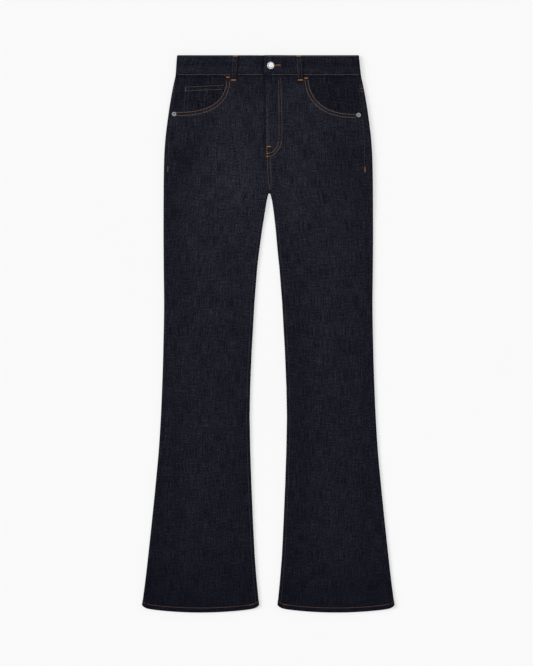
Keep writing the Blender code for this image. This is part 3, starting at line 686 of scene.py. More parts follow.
def grid_ring(rows: int, cols: int) -> Array:
    """Numbers of a grid's border points, in order round it."""
    ids = np.arange(rows * cols).reshape(rows, cols)
    return np.concatenate([ids[0], ids[1:, -1], ids[-1, -2::-1], ids[-2:0:-1, 0]])


@dataclass
class Shell:
    """A closed cloth wall: an outer grid of points, an inner one and a rim between them.

    The cloth map holds the length along the cloth and the drop, and the edge map the distance
    to the nearest seam and to the hem, all in metres, so that the weave follows the cloth. The
    shade map holds how level the face is, for a painted shade at folded edges, and the painted light and
    shade of the creases.
    """

    outer: Array
    inner: Array
    cloth: Array
    edges: Array
    light: Array | float = 1.0

    def build(self, name: str) -> bpy.types.Object:
        """The wall as a mesh whose faces point outwards."""
        rows, cols = self.outer.shape[:2]
        count = rows * cols
        points = np.concatenate([self.outer.reshape(-1, 3), self.inner.reshape(-1, 3)])
        face = grid_corners(rows, cols)
        ring = grid_ring(rows, cols)
        after = np.roll(ring, -1)
        rim = np.stack([after, ring, ring + count, after + count], axis=-1)
        quads = np.concatenate([face, face[:, ::-1] + count, rim])
        if signed_volume(points, quads) < 0:
            quads = quads[:, ::-1]
        maps = {"cloth": self.cloth, "edges": self.edges, "shade": self.shade()}
        both = {label: np.tile(values.reshape(-1, 2), (2, 1)) for label, values in maps.items()}
        return make_mesh(name, points, [quads], both)

    def shade(self) -> Array:
        """How level the outer face is, from 0 upright to 1, and its painted light and shade, as a map.

        The first is |z| of (change down a column) x (change along a row), at a length of 1.
        """
        down, across = np.gradient(self.outer, axis=(0, 1))
        normal = np.cross(down, across)
        level = np.abs(normal[..., 2]) / np.maximum(np.linalg.norm(normal, axis=-1), 1e-15)
        return np.stack([level, np.broadcast_to(self.light, level.shape)], axis=-1)

    def cut_size(self) -> tuple[float, float]:
        """The flat cut's greatest width and length, measured along the grid's lines."""
        across = np.linalg.norm(np.diff(self.outer, axis=1), axis=-1).sum(axis=1).max()
        down = np.linalg.norm(np.diff(self.outer, axis=0), axis=-1).sum(axis=0).max()
        return float(across), float(down)


def mesh_area(piece: bpy.types.Object) -> float:
    """Total area of a piece's faces."""
    areas = np.empty(len(piece.data.polygons))
    piece.data.polygons.foreach_get("area", areas)
    return float(areas.sum())


def cut_through(piece: bpy.types.Object, outline: Array, bottom: float, top: float) -> None:
    """Cuts an upright prism out of a piece with a Boolean modifier that is applied at once.

    Args:
        piece: What is cut.
        outline: The prism's plan, n by 2, in the garment's frame.
        bottom: Height of the prism's base.
        top: Height of its top.
    """
    count = len(outline)
    low = np.column_stack([outline, np.full(count, bottom)])
    high = np.column_stack([outline, np.full(count, top)])
    ids = np.arange(count)
    after = np.roll(ids, -1)
    sides = np.stack([ids, after, after + count, ids + count], axis=-1)
    turns = np.sum(outline[:, 0] * np.roll(outline[:, 1], -1) - np.roll(outline[:, 0], -1) * outline[:, 1])
    caps = np.stack([ids[::-1], ids + count])
    if turns < 0:
        sides, caps = sides[:, ::-1], caps[:, ::-1]
    cutter = make_mesh(piece.name + "_cutter", np.concatenate([low, high]), [sides, caps])
    cut = piece.modifiers.new("cut", "BOOLEAN")
    cut.operation = "DIFFERENCE"
    cut.object = cutter
    bpy.context.view_layer.update()
    whole = piece.data
    graph = bpy.context.evaluated_depsgraph_get()
    piece_cut = bpy.data.meshes.new_from_object(piece.evaluated_get(graph))
    piece.modifiers.clear()
    piece.data = piece_cut
    piece_cut.name = piece.name
    piece_cut.set_sharp_from_angle(angle=SHARP_ANGLE)
    bpy.data.meshes.remove(whole)
    bpy.data.objects.remove(cutter)


def tube_faces(levels: int, sides: int) -> tuple[Array, Array]:
    """Quads between rings of points, and triangles to the first and last end point after them."""
    ids = np.arange(levels * sides).reshape(levels, sides)
    after = np.roll(ids, -1, axis=1)
    quads = np.stack([ids[:-1], ids[1:], after[1:], after[:-1]], axis=-1).reshape(-1, 4)
    ends = np.full((2, sides), [[ids.size], [ids.size + 1]])
    first = np.stack([ends[0], ids[0], after[0]], axis=-1)
    last = np.stack([ends[1], after[-1], ids[-1]], axis=-1)
    return quads, np.concatenate([first, last])


def fill(values: Sequence[float], step: float) -> Array:
    """Values with even steps between each two of them, none longer than the step."""
    runs = [
        np.linspace(a, b, max(1, math.ceil((b - a) / step - 1e-6)), endpoint=False)
        for a, b in zip(values, values[1:])
    ]
    return np.concatenate(runs + [np.array([values[-1]])])


def dress(
    piece: bpy.types.Object,
    finish: bpy.types.Material,
    replaces: str | None = None,
) -> bpy.types.Object:
    """Gives a piece its finish and its body, and hides its solid."""
    piece.data.materials.clear()
    piece.data.materials.append(finish)
    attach(piece, BODY_NAME)
    if replaces:
        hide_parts(replaces)
    LOG.info("%s: %d faces", piece.name, len(piece.data.polygons))
    return piece


def make_sheet(
    shell: Shell,
    node: str,
    finish: bpy.types.Material,
    cut: tuple[Array, float, float] | None = None,
) -> bpy.types.Object:
    """Args:
        shell: Its wall.
        node: The solid that it replaces.
        finish: Its material.
        cut: The plan, base and top of a prism to be cut out of it.

    Returns:
        The piece. The area of its flat cut, half of the closed wall's, is worked out and not used.
    """
    piece = shell.build("dressed_" + node)
    if cut is not None:
        cut_through(piece, *cut)
    dress(piece, finish, node)
    flat = shell.cut_size()
    area = min(mesh_area(piece) / 2, flat[0] * flat[1])
    return piece


def edge_map(to_edge: Array) -> Array:
    """The edge map of a small piece, which has no hem."""
    return np.stack([to_edge, np.full_like(to_edge, FAR_FROM_HEM)], axis=-1)


# ---- where the large pieces' points are ----------------------------------------------------------
EDGE_STEPS = np.array([0.0, 0.35, 0.8, 1.4, 2.8, 4.4]) * MM
LEG_ROW_STEP = 4.2 * MM
NEAR_CROTCH = [-45, -30, -20, -10, -5, -2.8, -1.5, -0.5, 0.0, 0.7, 1.4, 5, 14, 27, 42, 60, 90]
NEAR_HEM = [100, 66, 37, 24, 13, 12, 11, 10, 5, 2.5, 1.2, 0.7, 0.35, 0.12, 0]
HIP_DROP = SIZES.crotch_drop - 45 * MM


def leg_rows() -> list[float]:
    """Straight drops from the hips to the hem, with the rows that the crotch and hem need."""
    crotch = [SIZES.crotch_drop + below * MM for below in NEAR_CROTCH]
    hem = [SIZES.length - above * MM for above in NEAR_HEM]
    return list(fill(crotch + hem, LEG_ROW_STEP))


def cloth_at(straight: Array) -> Array:
    """Wall thickness, which steps up at the turned hem."""
    in_hem = straight > SIZES.length - SIZES.hem_band - 0.5 * MM
    return np.where(in_hem, SIZES.hem_cloth, SIZES.cloth)


def front_begin(side: Side, drop: Array) -> Array:
    """Length, from the centre line or the inseam fold, at which a front begins."""
    edge = np.interp(drop, column(FLY_EDGE, 0), column(FLY_EDGE, 1))
    lapped = SIZES.crotch_drop - drop > SIZES.lap_fade[0] + 1 * MM
    on_hips = edge if side is Side.LEFT else np.where(lapped, -SIZES.fly_underlap, -edge + SIZES.seam_gap)
    return np.where(drop < SIZES.crotch_drop, on_hips, inseam_roll(drop) + SIZES.seam_gap / 2)


def front_end(side: Side, drop: Array) -> Array:
    """Length at which a front ends, at the side seam."""
    return BODY.length(drop) - side_roll(side, drop) - SIZES.seam_gap / 2


@dataclass(frozen=True)
class Place:
    """Outer points, inner points and outward normals of dressed cloth, in the garment's frame."""

    outer: Array
    inner: Array
    normal: Array
    to_seam: Array
    light: Array

    @classmethod
    def over(
        cls,
        side: Side,
        base: Array,
        normal: Array,
        cloth: tuple[Array, Array],
        lift: Array,
        to_seam: Array,
        light: Array,
    ) -> "Place":
        """Cloth along the normals of a base face, in the garment's frame.

        Args:
            side: Which side it is on.
            base: Points (across, drop, z) of the plain face.
            normal: Its normals.
            cloth: How far the outer face is over the base, and the inner one below it.
            lift: How far both are raised.
            to_seam: Distance to the nearest seam.
            light: The painted light and shade of the creases, as a factor.

        Returns:
            The outer face, the inner face and the normals.
        """
        faces = [base + cloth[0][..., None] * normal, base - cloth[1][..., None] * normal]
        for face in faces:
            face[..., 2] += lift
        return cls(world(faces[0], side), world(faces[1], side), world_normals(normal, side), to_seam, light)

    def shell(self, along: Array, drop: Array, straight: Array) -> Shell:
        """The wall over a grid of lengths and drops, with the rows' drops before the hem's curve."""
        to_hem = np.broadcast_to(SIZES.length - straight, along.shape)
        edges = np.stack([self.to_seam, to_hem], axis=-1)
        return Shell(self.outer, self.inner, np.stack([along, drop], axis=-1), edges, self.light)


def front_face(side: Side, along: Array, drop: Array, straight: Array | None = None) -> Place:
    """A front's dressed cloth at lengths along it and drops.

    Args:
        side: Which front.
        along: Length along the cloth from the centre line or the inseam fold.
        drop: Distance below the waistband's top edge.
        straight: The rows' drops before the hem's curve, where they differ.

    Returns:
        The solid's own face, moved out by the relief, with the wearer's left lapped over.
    """
    straight = drop if straight is None else straight
    points, normal = BODY.point(1, along, drop)
    x, level = points[..., 0], points[..., 1]
    to_seam = np.minimum(along - front_begin(side, drop), front_end(side, drop) - along)
    bend = RELIEF.bend(side, Layer.TOP, x, level) * np.abs(normal[..., 2])
    extra = RELIEF.top_thickness(side, x, level, to_seam) + RELIEF.hem_thickness(SIZES.length - straight)
    base = points + bend[..., None] * normal
    lift = lap_raise(x, level) if side is Side.LEFT else np.zeros(())
    cloth = (extra, cloth_at(straight))
    return Place.over(side, base, normal, cloth, lift, to_seam, painted_cloth_light(side, x, level))


def back_face(
    side: Side, along: Array, drop: Array, ends: tuple[Array, Array], straight: Array | None = None
) -> Place:
    """Back cloth, dressed, at lengths along it and drops.

    Below 0 a length is on top, rolled over the inseam fold; past the section's length it is on
    top again, rolled over the side fold.

    Args:
        side: Which back.
        along: Length along the cloth.
        drop: Distance below the waistband's top edge.
        ends: The lengths at which the cloth begins and ends.
        straight: The rows' drops before the hem's curve, where they differ.

    Returns:
        The solid's own face, moved out by the relief, which on the underside only goes inwards.
    """
    straight = drop if straight is None else straight
    total = BODY.length(drop)
    on_top = (along < 0) | (along > total)
    layer = np.where(on_top, 1.0, -1.0)
    folded = np.where(along < 0, -along, np.where(along > total, 2 * total - along, along))
    points, normal = BODY.point(layer, folded, drop)
    x, level = points[..., 0], points[..., 1]
    bend_top = RELIEF.bend(side, Layer.TOP, x, level)
    bend_under = RELIEF.bend(side, Layer.UNDER, x, level)
    bend = np.where(on_top, bend_top, bend_under) * np.abs(normal[..., 2])
    to_seam = np.minimum(along - ends[0], ends[1] - along)
    room = np.where(on_top, 1.0, ramp(SIZES.lift_end[1] - level, 40 * MM, 60 * MM))
    in_hem = RELIEF.hem_thickness(SIZES.length - straight)
    extra = RELIEF.beside_seam(to_seam) * room + np.where(on_top, in_hem, np.minimum(in_hem, 0))
    base = points + bend[..., None] * normal
    cloth = (extra, cloth_at(straight))
    return Place.over(side, base, normal, cloth, np.zeros(()), to_seam, painted_cloth_light(side, x, level))


def spread(bounds: Sequence[Array], shares: Sequence[Array]) -> Array:
    """Columns through neighbouring stretches of cloth.

    Args:
        bounds: Lengths at which the stretches meet, each one number for every point of the grid.
        shares: For each stretch, where its columns stand, from above 0 to 1.

    Returns:
        Lengths along the cloth: the first bound, and then bound + share * (next bound - bound).
    """
    index = np.concatenate([[0]] + [np.full(len(part), k) for k, part in enumerate(shares)])
    share = np.concatenate([[0.0], *shares])
    stack = np.stack(np.broadcast_arrays(*bounds))
    stack = np.broadcast_to(stack, (*stack.shape[:2], len(index))) if stack.shape[2] == 1 else stack
    cols = np.arange(len(index))
    low, high = stack[index, :, cols].T, stack[index + 1, :, cols].T
    return low + (high - low) * share


def even(count: int) -> Array:
    """Even shares from above 0 to 1."""
    return np.linspace(0, 1, count + 1)[1:]


@dataclass(frozen=True)
class Finishes:
    """The materials by the record's slots, with the threads."""

    denim: bpy.types.Material
    fronts: dict[Side, bpy.types.Material]
    band: bpy.types.Material
    facing: bpy.types.Material
    coin: bpy.types.Material
    button: bpy.types.Material
    rivet: bpy.types.Material
    threads: dict[str, bpy.types.Material]


@dataclass(frozen=True)
class Fronts:
    """The two fronts, each cut out at its pocket mouth."""

    middle_columns: int = 66
    mouth_points: int = 48
    # the prism that cuts the mouth out reaches past the cloth on every side
    above_seam: float = 8 * MM
    past_side: float = 225 * MM
    cut_heights: tuple[float, float] = (-5 * MM, 20 * MM)

    def shares(self) -> list[Array]:
        """Columns close together beside both seams and even between them."""
        near = EDGE_STEPS[1:] / EDGE_STEPS[-1]
        return [near, even(self.middle_columns), 1 - (EDGE_STEPS / EDGE_STEPS[-1])[-2::-1]]

    def lengths(self, side: Side, drop: Array) -> Array:
        """Lengths along the cloth of every column, for rows of drops."""
        begin, end = front_begin(side, drop), front_end(side, drop)
        return spread([begin, begin + EDGE_STEPS[-1], end - EDGE_STEPS[-1], end], self.shares())

    def shaped(self, side: Side, straight: Array) -> Array:
        """Drops of straight rows at every column, once they follow the hem's curve."""
        end = np.array([[SIZES.length]])
        at_hem, _ = BODY.point(1, self.lengths(side, end), end)
        return shape_hem(straight, hem_share(at_hem[..., 0]))

    def mouth(self, side: Side) -> Array:
        """Plan of the cloth that the pocket mouth takes away, in the garment's frame."""
        curve = SCOOPS[side].curve(np.linspace(0, QUARTER, self.mouth_points))
        high = SIZES.band_height - self.above_seam
        start, level = curve[0, 0], curve[-1, 1]
        outline = np.concatenate([[[start, high]], curve, [[self.past_side, level], [self.past_side, high]]])
        return world(np.column_stack([outline, np.zeros(len(outline))]), side)[:, :2]

    def build(self, side: Side, finishes: Finishes) -> bpy.types.Object:
        """One front: a grid from the fly or inseam to the side seam, from waistband to hem."""
        top = [SIZES.band_height + SIZES.seam_gap, HIP_DROP]
        straight = np.concatenate([fill(top, LEG_ROW_STEP)[:-1], leg_rows()])[:, None]
        drop = self.shaped(side, straight)
        along = self.lengths(side, drop)
        shell = front_face(side, along, drop, straight).shell(along, drop, straight)
        name, below = f"front_{side.word}", f"back_{side.word}"
        mouth = (self.mouth(side), *self.cut_heights)
        return make_sheet(shell, name, finishes.fronts[side], mouth)


@dataclass(frozen=True)
class Backs:
    """The two backs and the yokes above them, which wrap round to the side seams."""

    roll_shares: tuple[float, ...] = (0.03, 0.08, 0.16, 0.27, 0.38, 0.5, 0.62, 0.74, 0.87, 1.0)
    flat_columns: int = 66
    fold_columns: int = 10
    seam_shares: tuple[float, ...] = (0.2, 0.4, 0.6, 0.78, 0.9, 0.96, 1.0)
    hip_row_step: float = 4.2 * MM

    def bounds(self, side: Side, drop: Array) -> list[Array]:
        """Where the cloth begins, lies flat, ends its flat, has turned over and ends."""
        on_leg = drop >= SIZES.crotch_drop
        spread_out = np.minimum((SIZES.crotch_drop - drop) * 0.5, 24 * MM)
        half = SIZES.seam_gap / 2
        quarter = SIZES.fold_radius * QUARTER
        begin = np.where(on_leg, -inseam_roll(drop) + half, half)
        total = BODY.length(drop)
        return [
            begin,
            quarter + np.where(on_leg, 0.0, spread_out),
            total - quarter,
            total + quarter,
            total + side_roll(side, drop) - half,
        ]

    def lengths(self, side: Side, drop: Array) -> Array:
        """Lengths along the cloth of every column, for rows of drops."""
        shares = [np.array(self.roll_shares), even(self.flat_columns), even(self.fold_columns)]
        return spread(self.bounds(side, drop), [*shares, np.array(self.seam_shares)])

    def face(self, side: Side, drop: Array, straight: Array | None = None) -> tuple[Array, Place]:
        """Lengths and dressed places for a grid of drops."""
        along = self.lengths(side, drop)
        bounds = self.bounds(side, drop)
        return along, back_face(side, along, drop, (bounds[0], bounds[-1]), straight)

    def seam(self, side: Side) -> Array:
        """Drop of the yoke seam at each column."""
        _, place = self.face(side, np.array([[HIP_DROP]]))
        return yoke_drop(np.abs(place.outer[0, :, 0]))

    def shaped(self, side: Side, straight: Array) -> Array:
        """Drops of straight rows at every column, once they follow the hem's curve."""
        _, at_hem = self.face(side, np.full((1, self.seam(side).size), SIZES.length))
        return shape_hem(straight, hem_share(np.abs(at_hem.outer[..., 0])))

    def rows(self, high: Array, low: Array, step: float) -> Array:
        """Rows of drops from one line to another, closer together at both."""
        count = math.ceil(float((low - high).max()) / step)
        share = np.linspace(0, 1, count + 1)
        extra = np.array([0.004, 0.012, 0.03])
        share = np.sort(np.concatenate([share, extra, 1 - extra]))
        return high + (low - high) * share[:, None]

    def build(self, side: Side, finishes: Finishes) -> bpy.types.Object:
        """One back, from the yoke seam to the hem."""
        seam = self.seam(side) + SIZES.seam_gap / 2
        level = np.full_like(seam, HIP_DROP)
        straight = np.array(leg_rows()[1:])[:, None]
        lower = self.shaped(side, straight)
        hips = self.rows(seam, level, self.hip_row_step)
        drop = np.concatenate([hips, lower])
        unbent = np.concatenate([hips, np.broadcast_to(straight, lower.shape)])
        along, place = self.face(side, drop, unbent)
        name, below = f"back_{side.word}", f"back_pocket_{side.word}"
        return make_sheet(place.shell(along, drop, unbent), name, finishes.denim)

    def build_yoke(self, side: Side, finishes: Finishes) -> bpy.types.Object:
        """One yoke, from the waistband to the yoke seam."""
        seam = self.seam(side) - SIZES.seam_gap / 2
        top = np.full_like(seam, SIZES.band_height + SIZES.seam_gap)
        drop = self.rows(top, seam, self.hip_row_step)
        along, place = self.face(side, drop)
        name, below = f"yoke_{side.word}", f"belt_loop_back_{side.word}"
        return make_sheet(place.shell(along, drop, drop), name, finishes.denim)


@dataclass(frozen=True)
class Waistband:
    """One strip: over end at the centre front, round the back, to the under end below it."""

    fold: float = 1.6 * MM
    drawn_in: float = 0.8 * MM
    unevenness: float = 0.12 * MM
    hole_width: float = 2.6 * MM
    hole: tuple[float, float] = (2.6 * MM, 25.0 * MM)
    column_step: float = 2.6 * MM
    # beside the side folds
    fine_step: float = 0.8 * MM

    def rows(self) -> Array:
        """Drops across the strip, close together at its folded edges."""
        near = np.array([0, 0.12, 0.4, 0.85, 1.6]) * MM
        middle = np.linspace(near[-1], SIZES.band_height - near[-1], 16)[1:-1]
        return np.concatenate([near, middle, SIZES.band_height - near[::-1]])

    def face(self, side: Side, layer: Layer, along: Array, drop: Array) -> Place:
        """Dressed places on one side's half of one layer."""
        points, normal = BAND.point(layer.value, along, drop)
        x = points[..., 0]
        to_edge = np.minimum(drop, SIZES.band_height - drop)
        drawn_in = edge_fold(to_edge, self.fold, self.drawn_in)
        wave = undulation(x * side.value, drop * 2.2, 46 * MM, 2.3 + layer.value)
        bend = self.unevenness * wave * np.abs(normal[..., 2]) * (layer is Layer.TOP)
        base = points + bend[..., None] * normal
        cloth = (drawn_in, SIZES.band_cloth + 0.25 * drawn_in)
        if layer is Layer.TOP and side is Side.LEFT:
            lift = SIZES.band_raise * (1 - ramp(x, *SIZES.band_raise_ramp))
        elif layer is Layer.TOP:
            lift = -SIZES.band_dip * (1 - ramp(x, SIZES.band_dip_ramp[1], SIZES.band_dip_ramp[0]))
        else:
            lift = np.zeros_like(x)
        # painted shadows beside the loops, on the upper layer only
        light = painted_cloth_light(side, x, drop, BAND_PAINTED_SHADOWS if layer is Layer.TOP else ())
        return Place.over(side, base, normal, cloth, lift, to_edge, light)

    def stretch(self, start: Array, end: Array, step: float) -> Array:
        """Lengths from start to end of each row, without the first."""
        count = math.ceil(float(np.abs(end - start).max()) / step)
        return start[:, None] + (end - start)[:, None] * even(count)

    def hole_outline(self) -> Array:
        """The buttonhole: a slot with round ends, in the garment's frame."""
        half = self.hole_width / 2
        turn = np.linspace(-QUARTER, QUARTER, 10)
        right = np.column_stack([self.hole[1] - half + half * np.cos(turn), half * np.sin(turn)])
        left = np.column_stack([self.hole[0] + half - half * np.cos(turn), -half * np.sin(turn)])
        return np.concatenate([right, left]) + np.array([0.0, SIZES.length / 2 - BUTTON.drop])

    def build(self, finishes: Finishes) -> bpy.types.Object:
        """The strip, with its buttonhole cut through the over end."""
        rows = self.rows()
        drop = rows[:, None]
        quarter = BAND.radius * QUARTER
        total, zero = BAND.length(rows), np.zeros_like(rows)
        flat, step, fine = total - quarter, self.column_step, self.fine_step
        start, finish = zero + SIZES.band_overlap, zero - SIZES.band_underlap
        outwards, back = self.stretch(flat, total, fine), self.stretch(total, flat, fine)
        over = np.concatenate([start[:, None], self.stretch(start, flat, step), outwards], axis=1)
        round_left = np.concatenate([back, self.stretch(flat, zero, step)], axis=1)
        round_right = np.concatenate([self.stretch(zero, flat, step), outwards], axis=1)
        under = np.concatenate([back, self.stretch(flat, finish, step)], axis=1)
        parts = [
            self.face(Side.LEFT, Layer.TOP, over, drop),
            self.face(Side.LEFT, Layer.UNDER, round_left, drop),
            self.face(Side.RIGHT, Layer.UNDER, round_right, drop),
            self.face(Side.RIGHT, Layer.TOP, under, drop),
        ]
        outer = np.concatenate([part.outer for part in parts], axis=1)
        inner = np.concatenate([part.inner for part in parts], axis=1)
        half_round = 2 * total[:, None]
        runs = [over, half_round - round_left, half_round + round_right, 2 * half_round - under]
        lengths = np.concatenate(runs, axis=1)
        cloth = np.stack([lengths, np.broadcast_to(drop, lengths.shape)], axis=-1)
        to_edge = np.concatenate(
            [np.broadcast_to(part.to_seam, part.outer.shape[:2]) for part in parts], axis=1
        )
        light = np.concatenate([np.broadcast_to(part.light, part.outer.shape[:2]) for part in parts], axis=1)
        shell = Shell(outer, inner, cloth, edge_map(to_edge), light)
        over_underside = SIZES.under_lift + SIZES.band_laid_height + SIZES.band_raise - SIZES.band_cloth
        bottom = over_underside - SIZES.seam_gap / 2
        hole = (self.hole_outline(), bottom, bottom + 2 * SIZES.band_cloth)
        return make_sheet(shell, "waistband", finishes.band, hole)


def top_height(section: Section, x: Array, drop: Array) -> Array:
    """Height of the top layer's outer face above the crotch, where a length is also an x."""
    points, _ = section.point(1, x, drop)
    return points[..., 2]


@dataclass(frozen=True)
class Patch:
    """A thin piece on a four-sided plan, with folded edges and a raised turning inside them."""

    fold: float = 0.9 * MM
    drawn_in: float = 0.45 * MM
    turning: float = 0.18 * MM
    turning_width: float = 7 * MM
    edge_shares: tuple[float, ...] = (0.0, 0.004, 0.012, 0.03)

    def shares(self, count: int) -> Array:
        """Shares from 0 to 1, close together at both ends."""
        near = np.array(self.edge_shares)
        return np.concatenate([near, np.linspace(near[-1], 1 - near[-1], count)[1:-1], 1 - near[::-1]])

    def relief(self, to_edge: Array) -> Array:
        """The outer face's height over the plain one, from the distance to the nearest edge."""
        inside = 1 - ramp(to_edge, self.turning_width, self.turning_width + 2 * MM)
        band = inside * ramp(to_edge, 0, self.fold)
        return edge_fold(to_edge, self.fold, self.drawn_in) + self.turning * band


@dataclass(frozen=True)
class FrontPockets:
    """The facing behind each mouth and the coin pocket, which lie below the fronts' level."""

    # the coin pocket's, across and drop, in millimetres
    corners: tuple[tuple[float, float], ...] = ((167.5, 61.5), (82.0, 56.5), (171.5, 124.0), (84.0, 128.0))
    facing_rows: int = 26
    # of the facing's columns, from the front's side to the side seam
    near_seam: tuple[float, ...] = (0.86, 0.885, 0.91, 0.93, 0.95, 0.965, 0.98, 0.99, 1.0)
    unevenness: float = 0.12 * MM
    coin_rows: int = 22
    coin_columns: int = 28
    coin_relief: float = 0.8

    def level(self, side: Side, x: Array, drop: Array) -> Array:
        """Top of a facing: a cloth's thickness under the front, and lower under the coin pocket."""
        level = top_height(BODY, x, drop) - SIZES.cloth - SIZES.seam_gap
        if side is Side.RIGHT:
            dip = SIZES.lining_cloth + SIZES.seam_gap
            level = level - dip * ramp(side_width(drop) - side_roll(side, drop) - x, *SIZES.coin_dip_ramp)
        return level

    def lining(self, side: Side, x: Array, drop: Array, z: Array, to_edge: Array) -> Shell:
        """A wall of lining thickness below a face, with its distance to an edge for its map."""
        outer = world(np.stack([x, drop, z], axis=-1), side)
        inner = outer - np.array([0, 0, SIZES.lining_cloth])
        return Shell(outer, inner, np.stack([x, drop], axis=-1), edge_map(to_edge))

    def build_facing(self, side: Side, finishes: Finishes) -> bpy.types.Object:
        """The facing, from under the front to the side seam."""
        top = SIZES.band_height + SIZES.seam_gap
        drop = np.linspace(top, SIZES.facing_bottom, self.facing_rows)[:, None]
        end = side_width(drop) - seam_from_edge(side, drop) + SIZES.facing_tuck
        share = np.concatenate([np.linspace(0, 0.84, 30), self.near_seam])
        x = SIZES.facing_inner + (end - SIZES.facing_inner) * share
        drop = np.broadcast_to(drop, x.shape)
        bend = self.unevenness * undulation(x * side.value, drop, 33 * MM, 1.7)
        z = self.level(side, x, drop) + np.minimum(bend, 0)
        shell = self.lining(side, x, drop, z, np.full_like(x, 30 * MM))
        name = f"pocket_facing_{side.word}"
        return make_sheet(shell, name, finishes.facing)

    def coin_plan(self, across: Array, down: Array) -> Array:
        """Plan (across, drop) of shares of the coin pocket, 0, 0 at its top outer corner."""
        c = np.array(self.corners) * MM
        top = c[0] + (c[1] - c[0]) * across[..., None]
        bottom = c[2] + (c[3] - c[2]) * across[..., None]
        return top + (bottom - top) * down[..., None]

    def coin_height(self, x: Array, drop: Array) -> Array:
        """Height of the coin pocket's face."""
        return self.level(Side.RIGHT, x, drop) + SIZES.seam_gap + SIZES.lining_cloth

    def build_coin(self, finishes: Finishes) -> bpy.types.Object:
        """The coin pocket on the wearer's right facing."""
        patch = Patch(turning=0.12 * MM, turning_width=9 * MM)
        shares = patch.shares(self.coin_rows), patch.shares(self.coin_columns)
        down, across = np.meshgrid(*shares, indexing="ij")
        plan = self.coin_plan(across, down)
        x, drop = plan[..., 0], plan[..., 1]
        c = np.array(self.corners) * MM
        wide, tall = np.linalg.norm(c[0] - c[1]), np.linalg.norm(c[0] - c[2])
        to_top = down * tall
        to_edge = np.minimum(np.minimum(across, 1 - across) * wide, np.minimum(down, 1 - down) * tall)
        z = self.coin_height(x, drop) + patch.relief(to_edge) * self.coin_relief
        shell = self.lining(Side.RIGHT, x, drop, z, to_top)
        return make_sheet(shell, "coin_pocket", finishes.coin)


@dataclass(frozen=True)
class BackPockets:
    """The two patch pockets that the hips lie on."""

    # across and drop, and below them the mean width and height, in millimetres
    corners: tuple[tuple[float, float], ...] = (
        (34.0, 131.0), (172.0, 117.0), (165.0, 238.0), (109.0, 269.0), (49.0, 250.0),
    )
    size: tuple[float, float] = (130.0, 125.0)
    drawn_up: float = 0.35 * MM
    rows: int = 44
    columns: int = 26

    def plan(self, across: Array, down: Array) -> Array:
        """Plan (across, drop) of shares of a pocket, whose lower edge has a point half way."""
        c = np.array(self.corners) * MM
        top = c[0] + (c[1] - c[0]) * across[..., None]
        left = c[4] + (c[3] - c[4]) * np.minimum(across / 0.5, 1)[..., None]
        right = (c[2] - c[3]) * np.maximum(across / 0.5 - 1, 0)[..., None]
        return top + (left + right - top) * down[..., None]

    def build(self, side: Side, finishes: Finishes) -> bpy.types.Object:
        """One pocket, face down on the surface, its outer face's edges drawn up."""
        patch = Patch()
        half = patch.shares(self.columns)[: -len(patch.edge_shares)]
        across = np.concatenate([half[half < 0.49], [0.5], 1 - half[half < 0.49][::-1]])
        down, across = np.meshgrid(patch.shares(self.rows), across, indexing="ij")
        plan = self.plan(across, down)
        wide, tall = self.size
        to_edge = np.minimum(np.minimum(across, 1 - across) * wide, np.minimum(down, 1 - down) * tall) * MM
        low = -edge_fold(to_edge, patch.fold, self.drawn_up)
        x, drop = plan[..., 0], plan[..., 1]
        outer = world(np.stack([x, drop, low], axis=-1), side)
        inner = world(np.stack([x, drop, np.full_like(x, SIZES.patch_cloth)], axis=-1), side)
        shell = Shell(outer, inner, plan, edge_map(to_edge))
        return make_sheet(shell, f"back_pocket_{side.word}", finishes.denim)


